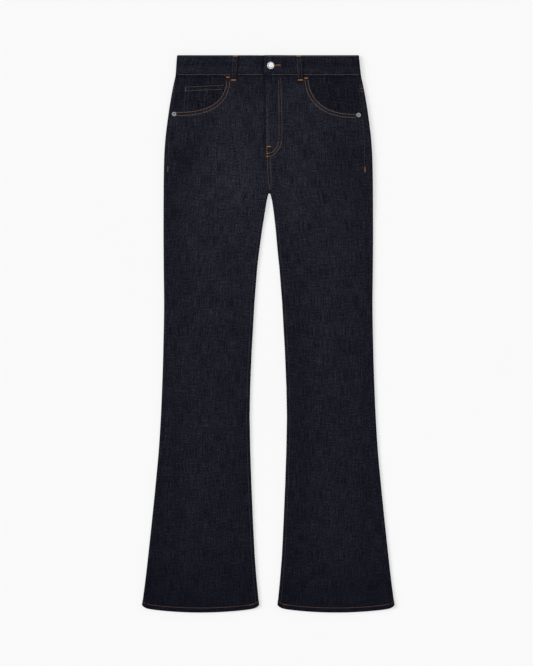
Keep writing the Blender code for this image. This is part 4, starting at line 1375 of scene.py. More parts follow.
@dataclass(frozen=True)
class BeltLoops:
    """Five strips: two over the front of the waistband and three under its back."""

    arch: float = 0.6 * MM
    edge_ridge: float = 0.22 * MM
    fold: float = 0.8 * MM
    drawn_in: float = 0.5 * MM
    columns: int = 15
    # across at the top and the bottom, in millimetres
    front: dict[Side, tuple[float, float]] = field(default_factory=lambda: {R: (66.0, 70.0), L: (61.1, 64.6)})
    back: tuple[tuple[str, float, float], ...] = (("right", -105, -107), ("centre", 0, 0), ("left", 105, 107))

    def drops(self) -> Array:
        """Rows down a loop, close together where it steps down off the waistband."""
        first, last = SIZES.loop_drops
        edge = SIZES.band_height
        upper = [first, first + 0.15 * MM, first + 0.5 * MM, 8 * MM, edge + 0.8 * MM, edge + 5 * MM]
        lower = [edge + 5 * MM, last - 0.5 * MM, last - 0.15 * MM, last]
        return np.concatenate([fill(upper, 1.4 * MM), fill(lower, 1.2 * MM)[1:]])

    def offsets(self) -> Array:
        """Places across a loop, close together at its folded edges."""
        share = np.sin(np.linspace(-QUARTER, QUARTER, self.columns))
        return SIZES.loop_width / 2 * share

    def face(self, offset: Array) -> Array:
        """Height over the plain strip: folded edges with a ridge inside each."""
        to_edge = SIZES.loop_width / 2 - np.abs(offset)
        ridge = self.edge_ridge * swell(to_edge, 1.8 * MM, 1.1 * MM)
        return edge_fold(to_edge, self.fold, self.drawn_in) + ridge

    def height(self, across: Array, drop: Array) -> Array:
        """Height of a front loop's plain upper face: over the waistband, then down to the front."""
        edge = SIZES.band_height
        band_top = top_height(BAND, across, np.minimum(drop, edge))
        body_top = top_height(BODY, across, np.maximum(drop, edge))
        share = ramp(drop, edge + 1 * MM, edge + 5 * MM)
        level = band_top + (np.minimum(body_top, band_top) - band_top) * share
        arch = self.arch * np.sin(np.pi * np.clip(drop / edge, 0, 1))
        return level + SIZES.seam_gap + SIZES.patch_cloth + arch

    def centre(self, top: float, bottom: float, drop: Array) -> Array:
        """Place of a loop's middle at a drop."""
        first, last = SIZES.loop_drops
        return (top + (bottom - top) * (drop - first) / (last - first)) * MM

    def build_front(self, side: Side, finishes: Finishes) -> bpy.types.Object:
        """One front loop."""
        drop, offset = np.meshgrid(self.drops(), self.offsets(), indexing="ij")
        x = self.centre(*self.front[side], drop) + offset
        plain = self.height(x, drop)
        bend = RELIEF.seam_ridge * 1.15 * ramp(drop, SIZES.band_height + 3 * MM, SIZES.band_height + 6 * MM)
        first, last = SIZES.loop_drops
        ends = edge_fold(np.minimum(drop - first, last - drop), 0.6 * MM, 0.4 * MM)
        outer = world(np.stack([x, drop, plain + bend + self.face(offset) + ends], axis=-1), side)
        inner = world(np.stack([x, drop, plain + bend - SIZES.patch_cloth], axis=-1), side)
        name = f"belt_loop_front_{side.word}"
        return self.sheet(name, (outer, inner), offset, drop, finishes)

    def build_back(self, index: int, finishes: Finishes) -> bpy.types.Object:
        """One back loop, flat on the surface with its face down."""
        word, top, bottom = self.back[index]
        drop, offset = np.meshgrid(self.drops(), self.offsets(), indexing="ij")
        x = self.centre(top, bottom, drop) + offset
        low = -edge_fold(SIZES.loop_width / 2 - np.abs(offset), self.fold, self.drawn_in)
        low = low + 0.2 * MM * (1 - swell(np.abs(offset), 4 * MM, 1.4 * MM)) * (np.abs(offset) < 5 * MM)
        outer = np.stack([x, SIZES.length / 2 - drop, low], axis=-1)
        inner = np.stack([x, SIZES.length / 2 - drop, np.full_like(x, SIZES.patch_cloth)], axis=-1)
        return self.sheet(f"belt_loop_back_{word}", (outer, inner), offset, drop, finishes)

    def sheet(
        self,
        name: str,
        faces: tuple[Array, Array],
        offset: Array,
        drop: Array,
        finishes: Finishes,
    ) -> bpy.types.Object:
        """Makes a loop from its outer and inner faces, over what lies below it."""
        edges = edge_map(SIZES.loop_width / 2 - np.abs(offset))
        shell = Shell(*faces, np.stack([offset, drop], axis=-1), edges)
        return make_sheet(shell, name, finishes.band)


# ---- metal ---------------------------------------------------------------------------------------
def turned(name: str, profile: Array, steps: int, centre: tuple[float, float, float]) -> bpy.types.Object:
    """A closed turned piece.

    Args:
        name: The piece's name.
        profile: Radius and height down its outer side, from its axis to its axis.
        steps: Faces round it.
        centre: Where its axis stands and its height 0.

    Returns:
        Rings of points at radius * (cos, sin), closed by one point at each end of the axis.
    """
    turn = np.linspace(0, 4 * QUARTER, steps, endpoint=False)
    rings = profile[1:-1]
    circle = np.stack([np.cos(turn), np.sin(turn)], axis=-1)
    heights = np.broadcast_to(rings[:, None, 1:], (len(rings), steps, 1))
    points = np.concatenate([rings[:, None, :1] * circle, heights], axis=-1)
    ends = np.array([[0, 0, profile[0, 1]], [0, 0, profile[-1, 1]]])
    points = np.concatenate([points.reshape(-1, 3), ends]) + np.array(centre)
    return make_mesh(name, points, tube_faces(len(rings), steps))


@dataclass(frozen=True)
class Button:
    """The tack button at the waistband: a raised rim round a hollow with a centre boss."""

    across: float = 4.8 * MM
    drop: float = 21.1 * MM
    radius: float = 7.7 * MM
    height: float = 2.6 * MM
    shank: float = 1.5 * MM
    steps: int = 96

    def bottom(self) -> float:
        """Height of the cap's underside, clear of the raised over end."""
        band_top = float(top_height(BAND, np.array(self.across), np.array(self.drop)))
        return band_top + SIZES.band_raise + SIZES.seam_gap

    def build(self, finishes: Finishes) -> bpy.types.Object:
        """The cap and its shank, which ends just above the under end."""
        r, h, bottom = self.radius, self.height, self.bottom()
        shank_end = -SIZES.band_raise - SIZES.band_dip
        turn = np.linspace(0, QUARTER, 9)
        rim = np.column_stack([r * 0.82 + r * 0.18 * np.sin(2 * turn), h * (0.52 + 0.48 * np.cos(2 * turn))])
        hollow = [
            (0, h * 0.84), (r * 0.07, h * 0.835), (r * 0.13, h * 0.82), (r * 0.17, h * 0.79),
            (r * 0.19, h * 0.75),
            (r * 0.23, h * 0.735), (r * 0.32, h * 0.735), (r * 0.45, h * 0.75), (r * 0.56, h * 0.765),
            (r * 0.62, h * 0.79), (r * 0.66, h * 0.84), (r * 0.70, h * 0.91), (r * 0.75, h * 0.97),
        ]
        below = [(r * 0.86, 0), (r * 0.5, h * 0.02), (self.shank * 1.3, h * 0.02), (self.shank, -0.2 * MM),
                 (self.shank, shank_end), (0, shank_end)]
        profile = np.concatenate([hollow, rim, below])
        centre = (self.across, SIZES.length / 2 - self.drop, bottom)
        piece = turned("dressed_button", profile, self.steps, centre)
        return dress(piece, finishes.button, "button")


BUTTON = Button()


@dataclass(frozen=True)
class Rivets:
    """The rivets at the outer ends of the pocket mouths."""

    radius: float = 4.8 * MM
    height: float = 1.3 * MM
    steps: int = 64
    # across, drop
    places: dict[Side, tuple[float, float]] = field(
        default_factory=lambda: {R: (189.0, 118.4), L: (181.5, 120.3)}
    )

    def build(self, side: Side, finishes: Finishes) -> bpy.types.Object:
        """One rivet: a rounded ring round a hollow with a small nub."""
        across, drop = (value * MM for value in self.places[side])
        bottom = float(top_height(BODY, np.array(across), np.array(drop))) + SIZES.seam_gap
        r, h = self.radius, self.height
        turn = np.linspace(0, 2 * QUARTER, 10)
        ring = np.column_stack([r * (0.70 - 0.30 * np.cos(turn)), h * (0.45 + 0.55 * np.sin(turn))])
        nub = [
            (0, h * 0.78), (r * 0.10, h * 0.76), (r * 0.19, h * 0.68), (r * 0.24, h * 0.54),
            (r * 0.30, h * 0.42), (r * 0.37, h * 0.40),
        ]
        base = [(r, h * 0.1), (r * 0.985, 0), (r * 0.5, 0), (0, 0)]
        profile = np.concatenate([nub, ring, base])
        centre = (side.value * across, SIZES.length / 2 - drop, bottom)
        name = f"rivet_{side.word}"
        piece = turned("dressed_" + name, profile, self.steps, centre)
        return dress(piece, finishes.rivet, name)


# ---- sewing --------------------------------------------------------------------------------------
def smooth_path(points: Sequence[Sequence[float]], step: float = 1.0) -> Array:
    """A Catmull-Rom curve through plan points in millimetres, as points in metres.

    Args:
        points: Rows of (across, drop), in millimetres.
        step: Distance between the points returned, in millimetres.

    Returns:
        0.5 * (2b + (c - a)t + (2a - 5b + 4c - d)t^2 + (3b - a - 3c + d)t^3) on each stretch b to c.
    """
    p = np.array(points, dtype=float)
    p = np.concatenate([[2 * p[0] - p[1]], p, [2 * p[-1] - p[-2]]])
    runs = []
    for a, b, c, d in zip(p, p[1:], p[2:], p[3:]):
        t = np.linspace(0, 1, max(2, math.ceil(np.linalg.norm(c - b) / step)), endpoint=False)[:, None]
        cubic = (2 * a - 5 * b + 4 * c - d) * t**2 + (3 * b - a - 3 * c + d) * t**3
        runs.append(0.5 * (2 * b + (c - a) * t + cubic))
    return np.concatenate([*runs, [p[-2]]]) * MM


def at_lengths(path: Array, lengths: Array) -> Array:
    """Points of a polyline at lengths along it."""
    steps = np.linalg.norm(np.diff(path[:, :3], axis=0), axis=1)
    total = np.concatenate([[0], np.cumsum(steps)])
    return np.stack([np.interp(lengths, total, path[:, k]) for k in range(path.shape[1])], axis=-1)


def path_length(path: Array) -> float:
    """Length of a polyline."""
    return float(np.linalg.norm(np.diff(path[:, :3], axis=0), axis=1).sum())


@dataclass(frozen=True)
class Thread:
    """The shape of one visible stitch: a short rod, thinner and sunk at its ends."""

    half_width: float = 0.36 * MM
    half_height: float = 0.26 * MM
    sides: int = 5
    # share of the stitch, share of the radius, share of the height over the cloth
    rings: tuple[tuple[float, float, float], ...] = (
        (0.06, 0.55, -0.2), (0.24, 1.0, 0.55), (0.76, 1.0, 0.55), (0.94, 0.55, -0.2),
    )

    def mesh(self, start: Array, end: Array, normal: Array) -> tuple[Array, Array, Array]:
        """Rods from starts to ends on a face.

        Args:
            start: Where each stitch goes in, n by 3.
            end: Where it comes out, n by 3.
            normal: The face's unit normal at each.

        Returns:
            Points, quads and triangles. A ring's point is at
            centre + width * cos * side + height * sin * normal.
        """
        along = end - start
        across = unit(np.cross(normal, along))
        turn = np.linspace(0, 4 * QUARTER, self.sides, endpoint=False)
        table = np.array(self.rings)
        over = normal[:, None] * (table[:, 2:] * self.half_height)
        centre = start[:, None] + along[:, None] * table[:, :1] + over
        wide = across[:, None, None] * (self.half_width * table[:, 1, None] * np.cos(turn))[..., None]
        high = normal[:, None, None] * (self.half_height * table[:, 1, None] * np.sin(turn))[..., None]
        rings = centre[:, :, None] + wide + high
        tips = np.stack([start, end], axis=1) - normal[:, None] * self.half_height * 0.6
        count, levels = len(start), len(table)
        points = np.concatenate([rings.reshape(count, -1, 3), tips], axis=1)
        quads, tris = tube_faces(levels, self.sides)
        quads, tris = quads[:, [0, 3, 2, 1]], tris[:, [0, 2, 1]]
        shift = (np.arange(count) * points.shape[1])[:, None, None]
        return points.reshape(-1, 3), (quads + shift).reshape(-1, 4), (tris + shift).reshape(-1, 3)


@dataclass
class Sewing:
    """Stitches of one thread, gathered run by run and made into one piece."""

    name: str
    thread: Thread = Thread()
    stitch: float = 2.55 * MM
    pitch: float = 3.25 * MM
    parts: list[tuple[Array, Array, Array]] = field(default_factory=list)

    def run(self, outer: Array, normal: Array) -> None:
        """A straight row of stitches along a line on the cloth.

        Args:
            outer: Points along the line, n by 3.
            normal: Unit normals there, n by 3.
        """
        path = np.concatenate([outer, normal], axis=1)
        count = int((path_length(path) + self.pitch - self.stitch) // self.pitch)
        if count < 1:
            return
        spare = path_length(path) - count * self.pitch + self.pitch - self.stitch
        begin = np.arange(count) * self.pitch + spare / 2
        start, end = at_lengths(path, begin), at_lengths(path, begin + self.stitch)
        self.add(start, end)

    def satin(self, outer: Array, normal: Array, width: float, pitch: float = 0.5 * MM) -> None:
        """A bartack: close crosswise stitches along a line, every other one slanting back.

        Args:
            outer: Points along the line, n by 3.
            normal: Unit normals there, n by 3.
            width: Length of each crosswise stitch.
            pitch: Distance between stitches.
        """
        path = np.concatenate([outer, normal], axis=1)
        count = max(2, round(path_length(path) / pitch))
        begin = np.linspace(0, path_length(path), count)
        place, ahead = at_lengths(path, begin), at_lengths(path, begin + 0.02 * MM)
        back = at_lengths(path, begin - 0.02 * MM)
        heading = unit(ahead[:, :3] - back[:, :3])
        across = np.cross(place[:, 3:], heading)
        slant = np.where(np.arange(count) % 2, 1.0, -1.0)[:, None] * pitch * 0.5 * heading
        uneven = 1 + 0.12 * np.sin(np.arange(count) * 2.4)[:, None]
        start, end = place.copy(), place.copy()
        start[:, :3] -= across * width / 2 * uneven + slant
        end[:, :3] += across * width / 2 * uneven + slant
        self.add(start, end)

    def add(self, start: Array, end: Array) -> None:
        """Stitches between pairs of (point, normal) rows."""
        self.parts.append(self.thread.mesh(start[:, :3], end[:, :3], unit(start[:, 3:] + end[:, 3:])))

    def build(self, finish: bpy.types.Material) -> bpy.types.Object:
        """The piece, with every run's rods joined."""
        shift = np.cumsum([0] + [len(points) for points, _, _ in self.parts])
        points = np.concatenate([points for points, _, _ in self.parts])
        quads = np.concatenate([quads + s for (_, quads, _), s in zip(self.parts, shift)])
        tris = np.concatenate([tris + s for (_, _, tris), s in zip(self.parts, shift)])
        return dress(make_mesh(self.name, points, [quads, tris]), finish)


def on_front(side: Side, plan: Array) -> tuple[Array, Array]:
    """Points and normals on a dressed front, from a plan of (across, drop)."""
    place = front_face(side, BODY.along(plan[:, 0], plan[:, 1]), plan[:, 1])
    return place.outer, place.normal


def on_back(side: Side, plan: Array) -> tuple[Array, Array]:
    """Points and normals on the underside of a dressed back or yoke, from a plan."""
    drop = plan[:, 1]
    bounds = Backs().bounds(side, drop)
    place = back_face(side, BODY.along(plan[:, 0], drop), drop, (bounds[0], bounds[-1]))
    return place.outer, place.normal


def on_band(side: Side, layer: Layer, plan: Array) -> tuple[Array, Array]:
    """Points and normals on the waistband's upper or under face, from a plan."""
    place = Waistband().face(side, layer, plan[:, 0], plan[:, 1])
    return place.outer, place.normal


def level_place(side: Side, plan: Array, z: Array, up: float = 1.0) -> tuple[Array, Array]:
    """Points and upright normals on a nearly level face of known height."""
    normal = np.zeros((len(plan), 3))
    normal[:, 2] = up
    return world(np.column_stack([plan, z]), side), normal


def straight(start: tuple[float, float], end: tuple[float, float], count: int = 40) -> Array:
    """A straight plan line between two points in millimetres."""
    return np.linspace(start, end, count) * MM


@dataclass(frozen=True)
class Stitching:
    """Every row of stitches and every bartack, placed on the dressed cloth.

    Rows are named by their distances inside an edge or a seam, in metres. Tables are in
    millimetres: across, drop.
    """

    mouth_rows: dict[Side, tuple[float, float]] = field(
        default_factory=lambda: {R: (2.1 * MM, 8.3 * MM), L: (3.3 * MM, 9.4 * MM)}
    )
    double: float = 6.2 * MM
    beside_side: dict[Side, float] = field(default_factory=lambda: {R: 1.3 * MM, L: 2.5 * MM})
    side_end: dict[Side, float] = field(default_factory=lambda: {R: 224 * MM, L: 225 * MM})
    inseam_row: float = 8.0 * MM
    hem_row: float = 9.4 * MM
    # drop at which the fly's rows turn from dull to tan thread, as they curve into its foot
    fly_turn: float = 172 * MM
    # how far rows on a resting face are sunk into it
    sunk: float = 0.33 * MM
    # places of a loop's rows and ends of its tacks, from its middle
    loop_row: float = 3.7 * MM
    loop_tack: float = 4.4 * MM
    fly_inner: tuple = (
        (20.9, 49.0), (21.2, 90), (21.5, 150), (21.2, 170), (17.3, 183.5), (9.9, 193.4), (1.5, 196.8),
        (-2.9, 197.0),
    )
    fly_outer: tuple = (
        (25.2, 43.5), (26.3, 90), (27.5, 150), (27.6, 169), (24.6, 180), (19.6, 189.6), (9.9, 200.6),
        (0.6, 203.4), (-2.9, 203.5),
    )
    crotch_rows: tuple = (
        ((-1.9, 206), (-1.6, 230), (-0.6, 255), (0.6, 271)),
        ((4.2, 203.5), (4.4, 230), (4.2, 254), (2.8, 270)),
    )

    def sewings(self) -> dict[str, Sewing]:
        """The pieces that the rows are gathered into, by their threads."""
        names = {
            "front": "topstitching_front",
            "back": "topstitching_back",
            "rust": "hem_stitching",
            "dim": "dull_stitching",
            "faint": "worn_stitching",
            "tack": "bartacks",
        }
        return {key: Sewing(name) for key, name in names.items()}

    def fly(self, sewing: dict[str, Sewing]) -> None:
        """The J of the fly, its folded edge, the rise below it and the tacks at its foot."""
        for line in (self.fly_inner, self.fly_outer):
            plan = smooth_path(line)
            straight_part = plan[:, 1] < self.fly_turn
            straight_part[np.argmin(straight_part) :] = False
            sewing["dim"].run(*on_front(L, plan[straight_part]))
            sewing["front"].run(*on_front(L, plan[~straight_part]))
        for line in self.crotch_rows:
            sewing["dim"].run(*on_front(L, smooth_path(line)))
        sewing["tack"].satin(*on_front(L, straight((-3.0, 183.8), (4.8, 183.4))), 1.7 * MM)
        sewing["tack"].run(*on_front(L, straight((-2.7, 185), (-2.7, 196))))
        for drop in (197.4, 203.2):
            sewing["tack"].satin(*on_front(L, straight((-3.1, drop), (-0.6, drop))), 2.2 * MM)

    def mouths(self, side: Side, sewing: dict[str, Sewing]) -> None:
        """Two rows round a pocket mouth, with a tack at its top."""
        scoop = SCOOPS[side]
        end = (187.5 if side is R else 177.5) * MM
        for row in self.mouth_rows[side]:
            curve = scoop.curve(np.linspace(0.06, QUARTER, 90), row)
            tail = np.array([[end, curve[-1, 1] + 0.2 * MM]])
            plan = np.concatenate([curve, tail]) if end > curve[-1, 0] else curve
            sewing["front"].run(*on_front(side, plan))
        start, drop = (78.6, 44.2) if side is R else (73.2, 46.2)
        sewing["tack"].satin(*on_front(side, straight((start, drop), (start + 5.6, drop))), 2.2 * MM)

    def side_seams(self, side: Side, sewing: dict[str, Sewing]) -> None:
        """A row beside the side seam, over the facing and then the front, down to its tack."""
        mouth = SIZES.band_height + SCOOPS[side].depth
        inside = self.beside_side[side]
        rows = ((66 * MM, mouth - 1 * MM, True), (mouth + 12 * MM, self.side_end[side], False))
        for start, end, over_facing in rows:
            drop = np.linspace(start, end, 60)
            plan = np.column_stack([side_width(drop) - seam_from_edge(side, drop) - inside, drop])
            if over_facing:
                z = FrontPockets().level(side, plan[:, 0], drop)
                sewing["faint"].run(*level_place(side, plan, z))
            else:
                sewing["faint"].run(*on_front(side, plan))
        drop = np.linspace(self.side_end[side], self.side_end[side] + 10 * MM, 20)
        plan = np.column_stack([side_width(drop) - seam_from_edge(side, drop) - 0.9 * MM, drop])
        sewing["rust" if side is R else "tack"].satin(*on_front(side, plan), 1.5 * MM)

    def inseams(self, side: Side, sewing: dict[str, Sewing]) -> None:
        """A row on the back's edge, which is rolled over the inseam fold."""
        drop = np.linspace(SIZES.crotch_drop + 6 * MM, SIZES.length - 9 * MM, 400)
        bounds = Backs().bounds(side, drop)
        length = np.minimum(self.inseam_row, inseam_roll(drop) - 1.3 * MM)
        bent = shape_hem(drop, np.full_like(drop, -0.95))
        place = back_face(side, -np.maximum(length, -4 * MM), bent, (bounds[0], bounds[-1]))
        sewing["faint"].run(place.outer, place.normal)

    def hems(self, side: Side, sewing: dict[str, Sewing]) -> None:
        """A row round the hem, over the front and the back."""
        level = np.array([[SIZES.length - self.hem_row]])
        fronts, backs = Fronts(), Backs()
        drop = fronts.shaped(side, level)
        place = front_face(side, fronts.lengths(side, drop), drop, level)
        sewing["rust"].run(place.outer[0], place.normal[0])
        sewing["tack"].run(place.outer[0, :9], place.normal[0, :9])
        _, place = backs.face(side, backs.shaped(side, level), level)
        resting = self.sunk * (place.normal[0, :, 2:] < 0)
        sewing["rust"].run(place.outer[0] - place.normal[0] * resting, place.normal[0])

    def yokes(self, side: Side, sewing: dict[str, Sewing]) -> None:
        """Rows along both sides of the yoke seam, round to the side seam."""
        backs = Backs()
        for thread, offset in (("dim", -2.6 * MM), ("back", 2.4 * MM), ("back", 2.4 * MM + self.double)):
            _, place = backs.face(side, (backs.seam(side) + offset)[None])
            sewing[thread].run(place.outer[0], place.normal[0])

    def seat(self, sewing: dict[str, Sewing]) -> None:
        """Two rows beside the centre back seam."""
        for across in (2.2, 2.2 + self.double / MM):
            sewing["back"].run(*on_back(L, straight((across, 44), (across, 262), 120)))

    def band(self, sewing: dict[str, Sewing]) -> None:
        """Rows inside both edges of the waistband, front and back, and across its over end."""
        for drop, left_start in ((2.6, -5.6), (39.1, 6.5)):
            for side, start in ((L, left_start), (R, 10.5)):
                end = float(side_width(np.array(drop * MM))) / MM - 4
                thread = "faint" if side is R and drop < 10 else "dim"
                sewing[thread].run(*on_band(side, Layer.TOP, straight((start, drop), (end, drop), 160)))
                sewing["dim"].run(*on_band(side, Layer.UNDER, straight((0.5, drop), (end, drop), 160)))
        sewing["faint"].run(*on_band(L, Layer.TOP, straight((-5.8, 4.5), (-5.8, 37.5))))

    def buttonhole(self, sewing: dict[str, Sewing]) -> None:
        """Close stitches over the edge of the slot, the lower side in duller thread, a painted shade on that
        side.
        """
        outline = Waistband().hole_outline() - np.array([0, SIZES.length / 2 - BUTTON.drop])
        middle = outline.mean(axis=0)
        plan = middle + (outline - middle) * np.array([0.975, 0.80])
        start, end, half = plan[:, 0].min(), plan[:, 0].max(), plan[:, 1].max()
        turn = 0.45 * start + 0.55 * end
        # the faint rows are painted shade on the slot's shaded side
        rows = (
            ("tack", (turn, -half), (end, -half)),
            ("faint", (start, -half), (turn, -half)),
            ("tack", (start, half), (turn, half)),
            ("faint", (turn, half), (end, half)),
            ("faint", (end, -half), (end, half)),
        )
        for thread, first, last in rows:
            row = np.linspace(first, last, 24) + np.array([0.0, BUTTON.drop])
            sewing[thread].satin(*on_band(L, Layer.TOP, row), 1.2 * MM, 0.6 * MM)

    def on_coin(self, share: Array) -> tuple[Array, Array]:
        """Points and normals just over the coin pocket's face, from shares of its plan."""
        pocket = FrontPockets()
        plan = pocket.coin_plan(share[:, 0], share[:, 1])
        return level_place(R, plan, pocket.coin_height(plan[:, 0], plan[:, 1]) + 0.1 * MM)

    def coin(self, sewing: dict[str, Sewing]) -> None:
        """Two rows below the coin pocket's top edge and two inside its outer side."""
        rows = (
            ("dim", (0.012, 0.045), (0.93, 0.045)),
            ("dim", (0.012, 0.16), (0.90, 0.16)),
            ("faint", (0.016, 0.16), (0.016, 0.86)),
            ("faint", (0.095, 0.19), (0.095, 0.86)),
        )
        for thread, start, end in rows:
            sewing[thread].run(*self.on_coin(np.linspace(start, end, 60)))
        sewing["dim"].satin(*self.on_coin(np.linspace((0.02, 0.05), (0.02, 0.17), 20)), 1.6 * MM)

    def back_pockets(self, side: Side, sewing: dict[str, Sewing]) -> None:
        """Two rows inside each pocket's sides and foot, two below its mouth and a tack at each end."""
        pocket = BackPockets()
        for a, b in ((0.018, 0.985), (0.066, 0.935)):
            line = np.concatenate([
                np.linspace((a, 0.02), (a, b), 70),
                np.linspace((a, b), (1 - a, b), 80),
                np.linspace((1 - a, b), (1 - a, 0.02), 70),
            ])
            sewing["back"].run(*self.resting(side, pocket.plan(line[:, 0], line[:, 1])))
        for down in (0.022, 0.125):
            line = np.linspace((0.02, down), (0.98, down), 60)
            sewing["back"].run(*self.resting(side, pocket.plan(line[:, 0], line[:, 1])))
        for across in (0.03, 0.97):
            line = np.linspace((across, 0.012), (across, 0.085), 20)
            sewing["tack"].satin(*self.resting(side, pocket.plan(line[:, 0], line[:, 1])), 2.2 * MM)

    def resting(self, side: Side, plan: Array) -> tuple[Array, Array]:
        """Points and normals on a face that lies on the surface, sunk into it."""
        return level_place(side, plan, np.full(len(plan), self.sunk), -1.0)

    def loop_rows(self, loops: BeltLoops, sewing: dict[str, Sewing]) -> None:
        """Rows inside both edges of every loop, and a tack at each end."""
        first, last = (drop / MM for drop in SIZES.loop_drops)
        drop = np.linspace(first + 3, last - 3, 80) * MM
        across = np.linspace(-self.loop_tack, self.loop_tack, 20)
        for side, (top, bottom) in loops.front.items():
            for offset in (-self.loop_row, self.loop_row):
                x = loops.centre(top, bottom, drop) + offset
                thread = sewing["dim" if side is L and offset < 0 else "faint"]
                thread.run(*level_place(side, np.column_stack([x, drop]), loops.height(x, drop) + 0.12 * MM))
            for level in (first + 1.3, last - 0.9):
                place = np.full(20, level * MM)
                x = loops.centre(top, bottom, place) + across
                z = loops.height(x, place) + (0.1 if level < 9 else 0.4) * MM
                sewing["tack"].satin(*level_place(side, np.column_stack([x, place]), z), 2.0 * MM)
        for _, top, bottom in loops.back:
            side = L if top >= 0 else R
            middle = loops.centre(abs(top), abs(bottom), drop)
            for offset in (-self.loop_row, self.loop_row):
                sewing["faint"].run(*self.resting(side, np.column_stack([middle + offset, drop])))
            for level in (first + 1.3, last - 0.9):
                place = np.full(20, level * MM)
                x = loops.centre(abs(top), abs(bottom), place) + across
                sewing["tack"].satin(*self.resting(side, np.column_stack([x, place])), 2.0 * MM)

    def build(self, loops: BeltLoops, finishes: Finishes) -> None:
        """All rows, gathered into one piece for each thread, with the back's own."""
        sewing = self.sewings()
        self.fly(sewing)
        for side in Side:
            self.mouths(side, sewing)
            self.side_seams(side, sewing)
            self.inseams(side, sewing)
            self.hems(side, sewing)
            self.yokes(side, sewing)
            self.back_pockets(side, sewing)
        self.seat(sewing)
        self.band(sewing)
        self.buttonhole(sewing)
        self.coin(sewing)
        self.loop_rows(loops, sewing)
        for key, gathered in sewing.items():
            gathered.build(finishes.threads["tan" if key in ("front", "back") else key])


# ---- finishes ------------------------------------------------------------------------------------
Value = "Wire | float"


class Wire:
    """A number's socket, on which Python's operators add Math nodes."""

    def __init__(self, kit: "ShaderKit", socket: bpy.types.NodeSocket) -> None:
        self.kit = kit
        self.socket = socket

    def maths(self, operation: str, *values: Value) -> "Wire":
        """A Math node on values, in their order."""
        settings = {"operation": operation}
        return self.kit.node("ShaderNodeMath", settings, dict(enumerate(values)), "Value")

    def __add__(self, other: Value) -> "Wire":
        """self + other."""
        return self.maths("ADD", self, other)

    def __sub__(self, other: Value) -> "Wire":
        """self - other."""
        return self.maths("SUBTRACT", self, other)

    def __rsub__(self, other: Value) -> "Wire":
        """other - self."""
        return self.maths("SUBTRACT", other, self)

    def __mul__(self, other: Value) -> "Wire":
        """self * other."""
        return self.maths("MULTIPLY", self, other)

    def __truediv__(self, other: Value) -> "Wire":
        """self / other."""
        return self.maths("DIVIDE", self, other)

    __radd__ = __add__
    __rmul__ = __mul__

    def sine(self) -> "Wire":
        """Sine of self in radians."""
        return self.maths("SINE", self)

    def at_least(self, other: Value) -> "Wire":
        """The greater of self and other."""
        return self.maths("MAXIMUM", self, other)

    def step(self, start: float, end: float) -> "Wire":
        """A soft step from 0 at start to 1 at end."""
        settings = {"interpolation_type": "SMOOTHSTEP"}
        ends = {"Value": self, "From Min": start, "From Max": end, "To Min": 0.0, "To Max": 1.0}
        return self.kit.node("ShaderNodeMapRange", settings, ends, "Result")


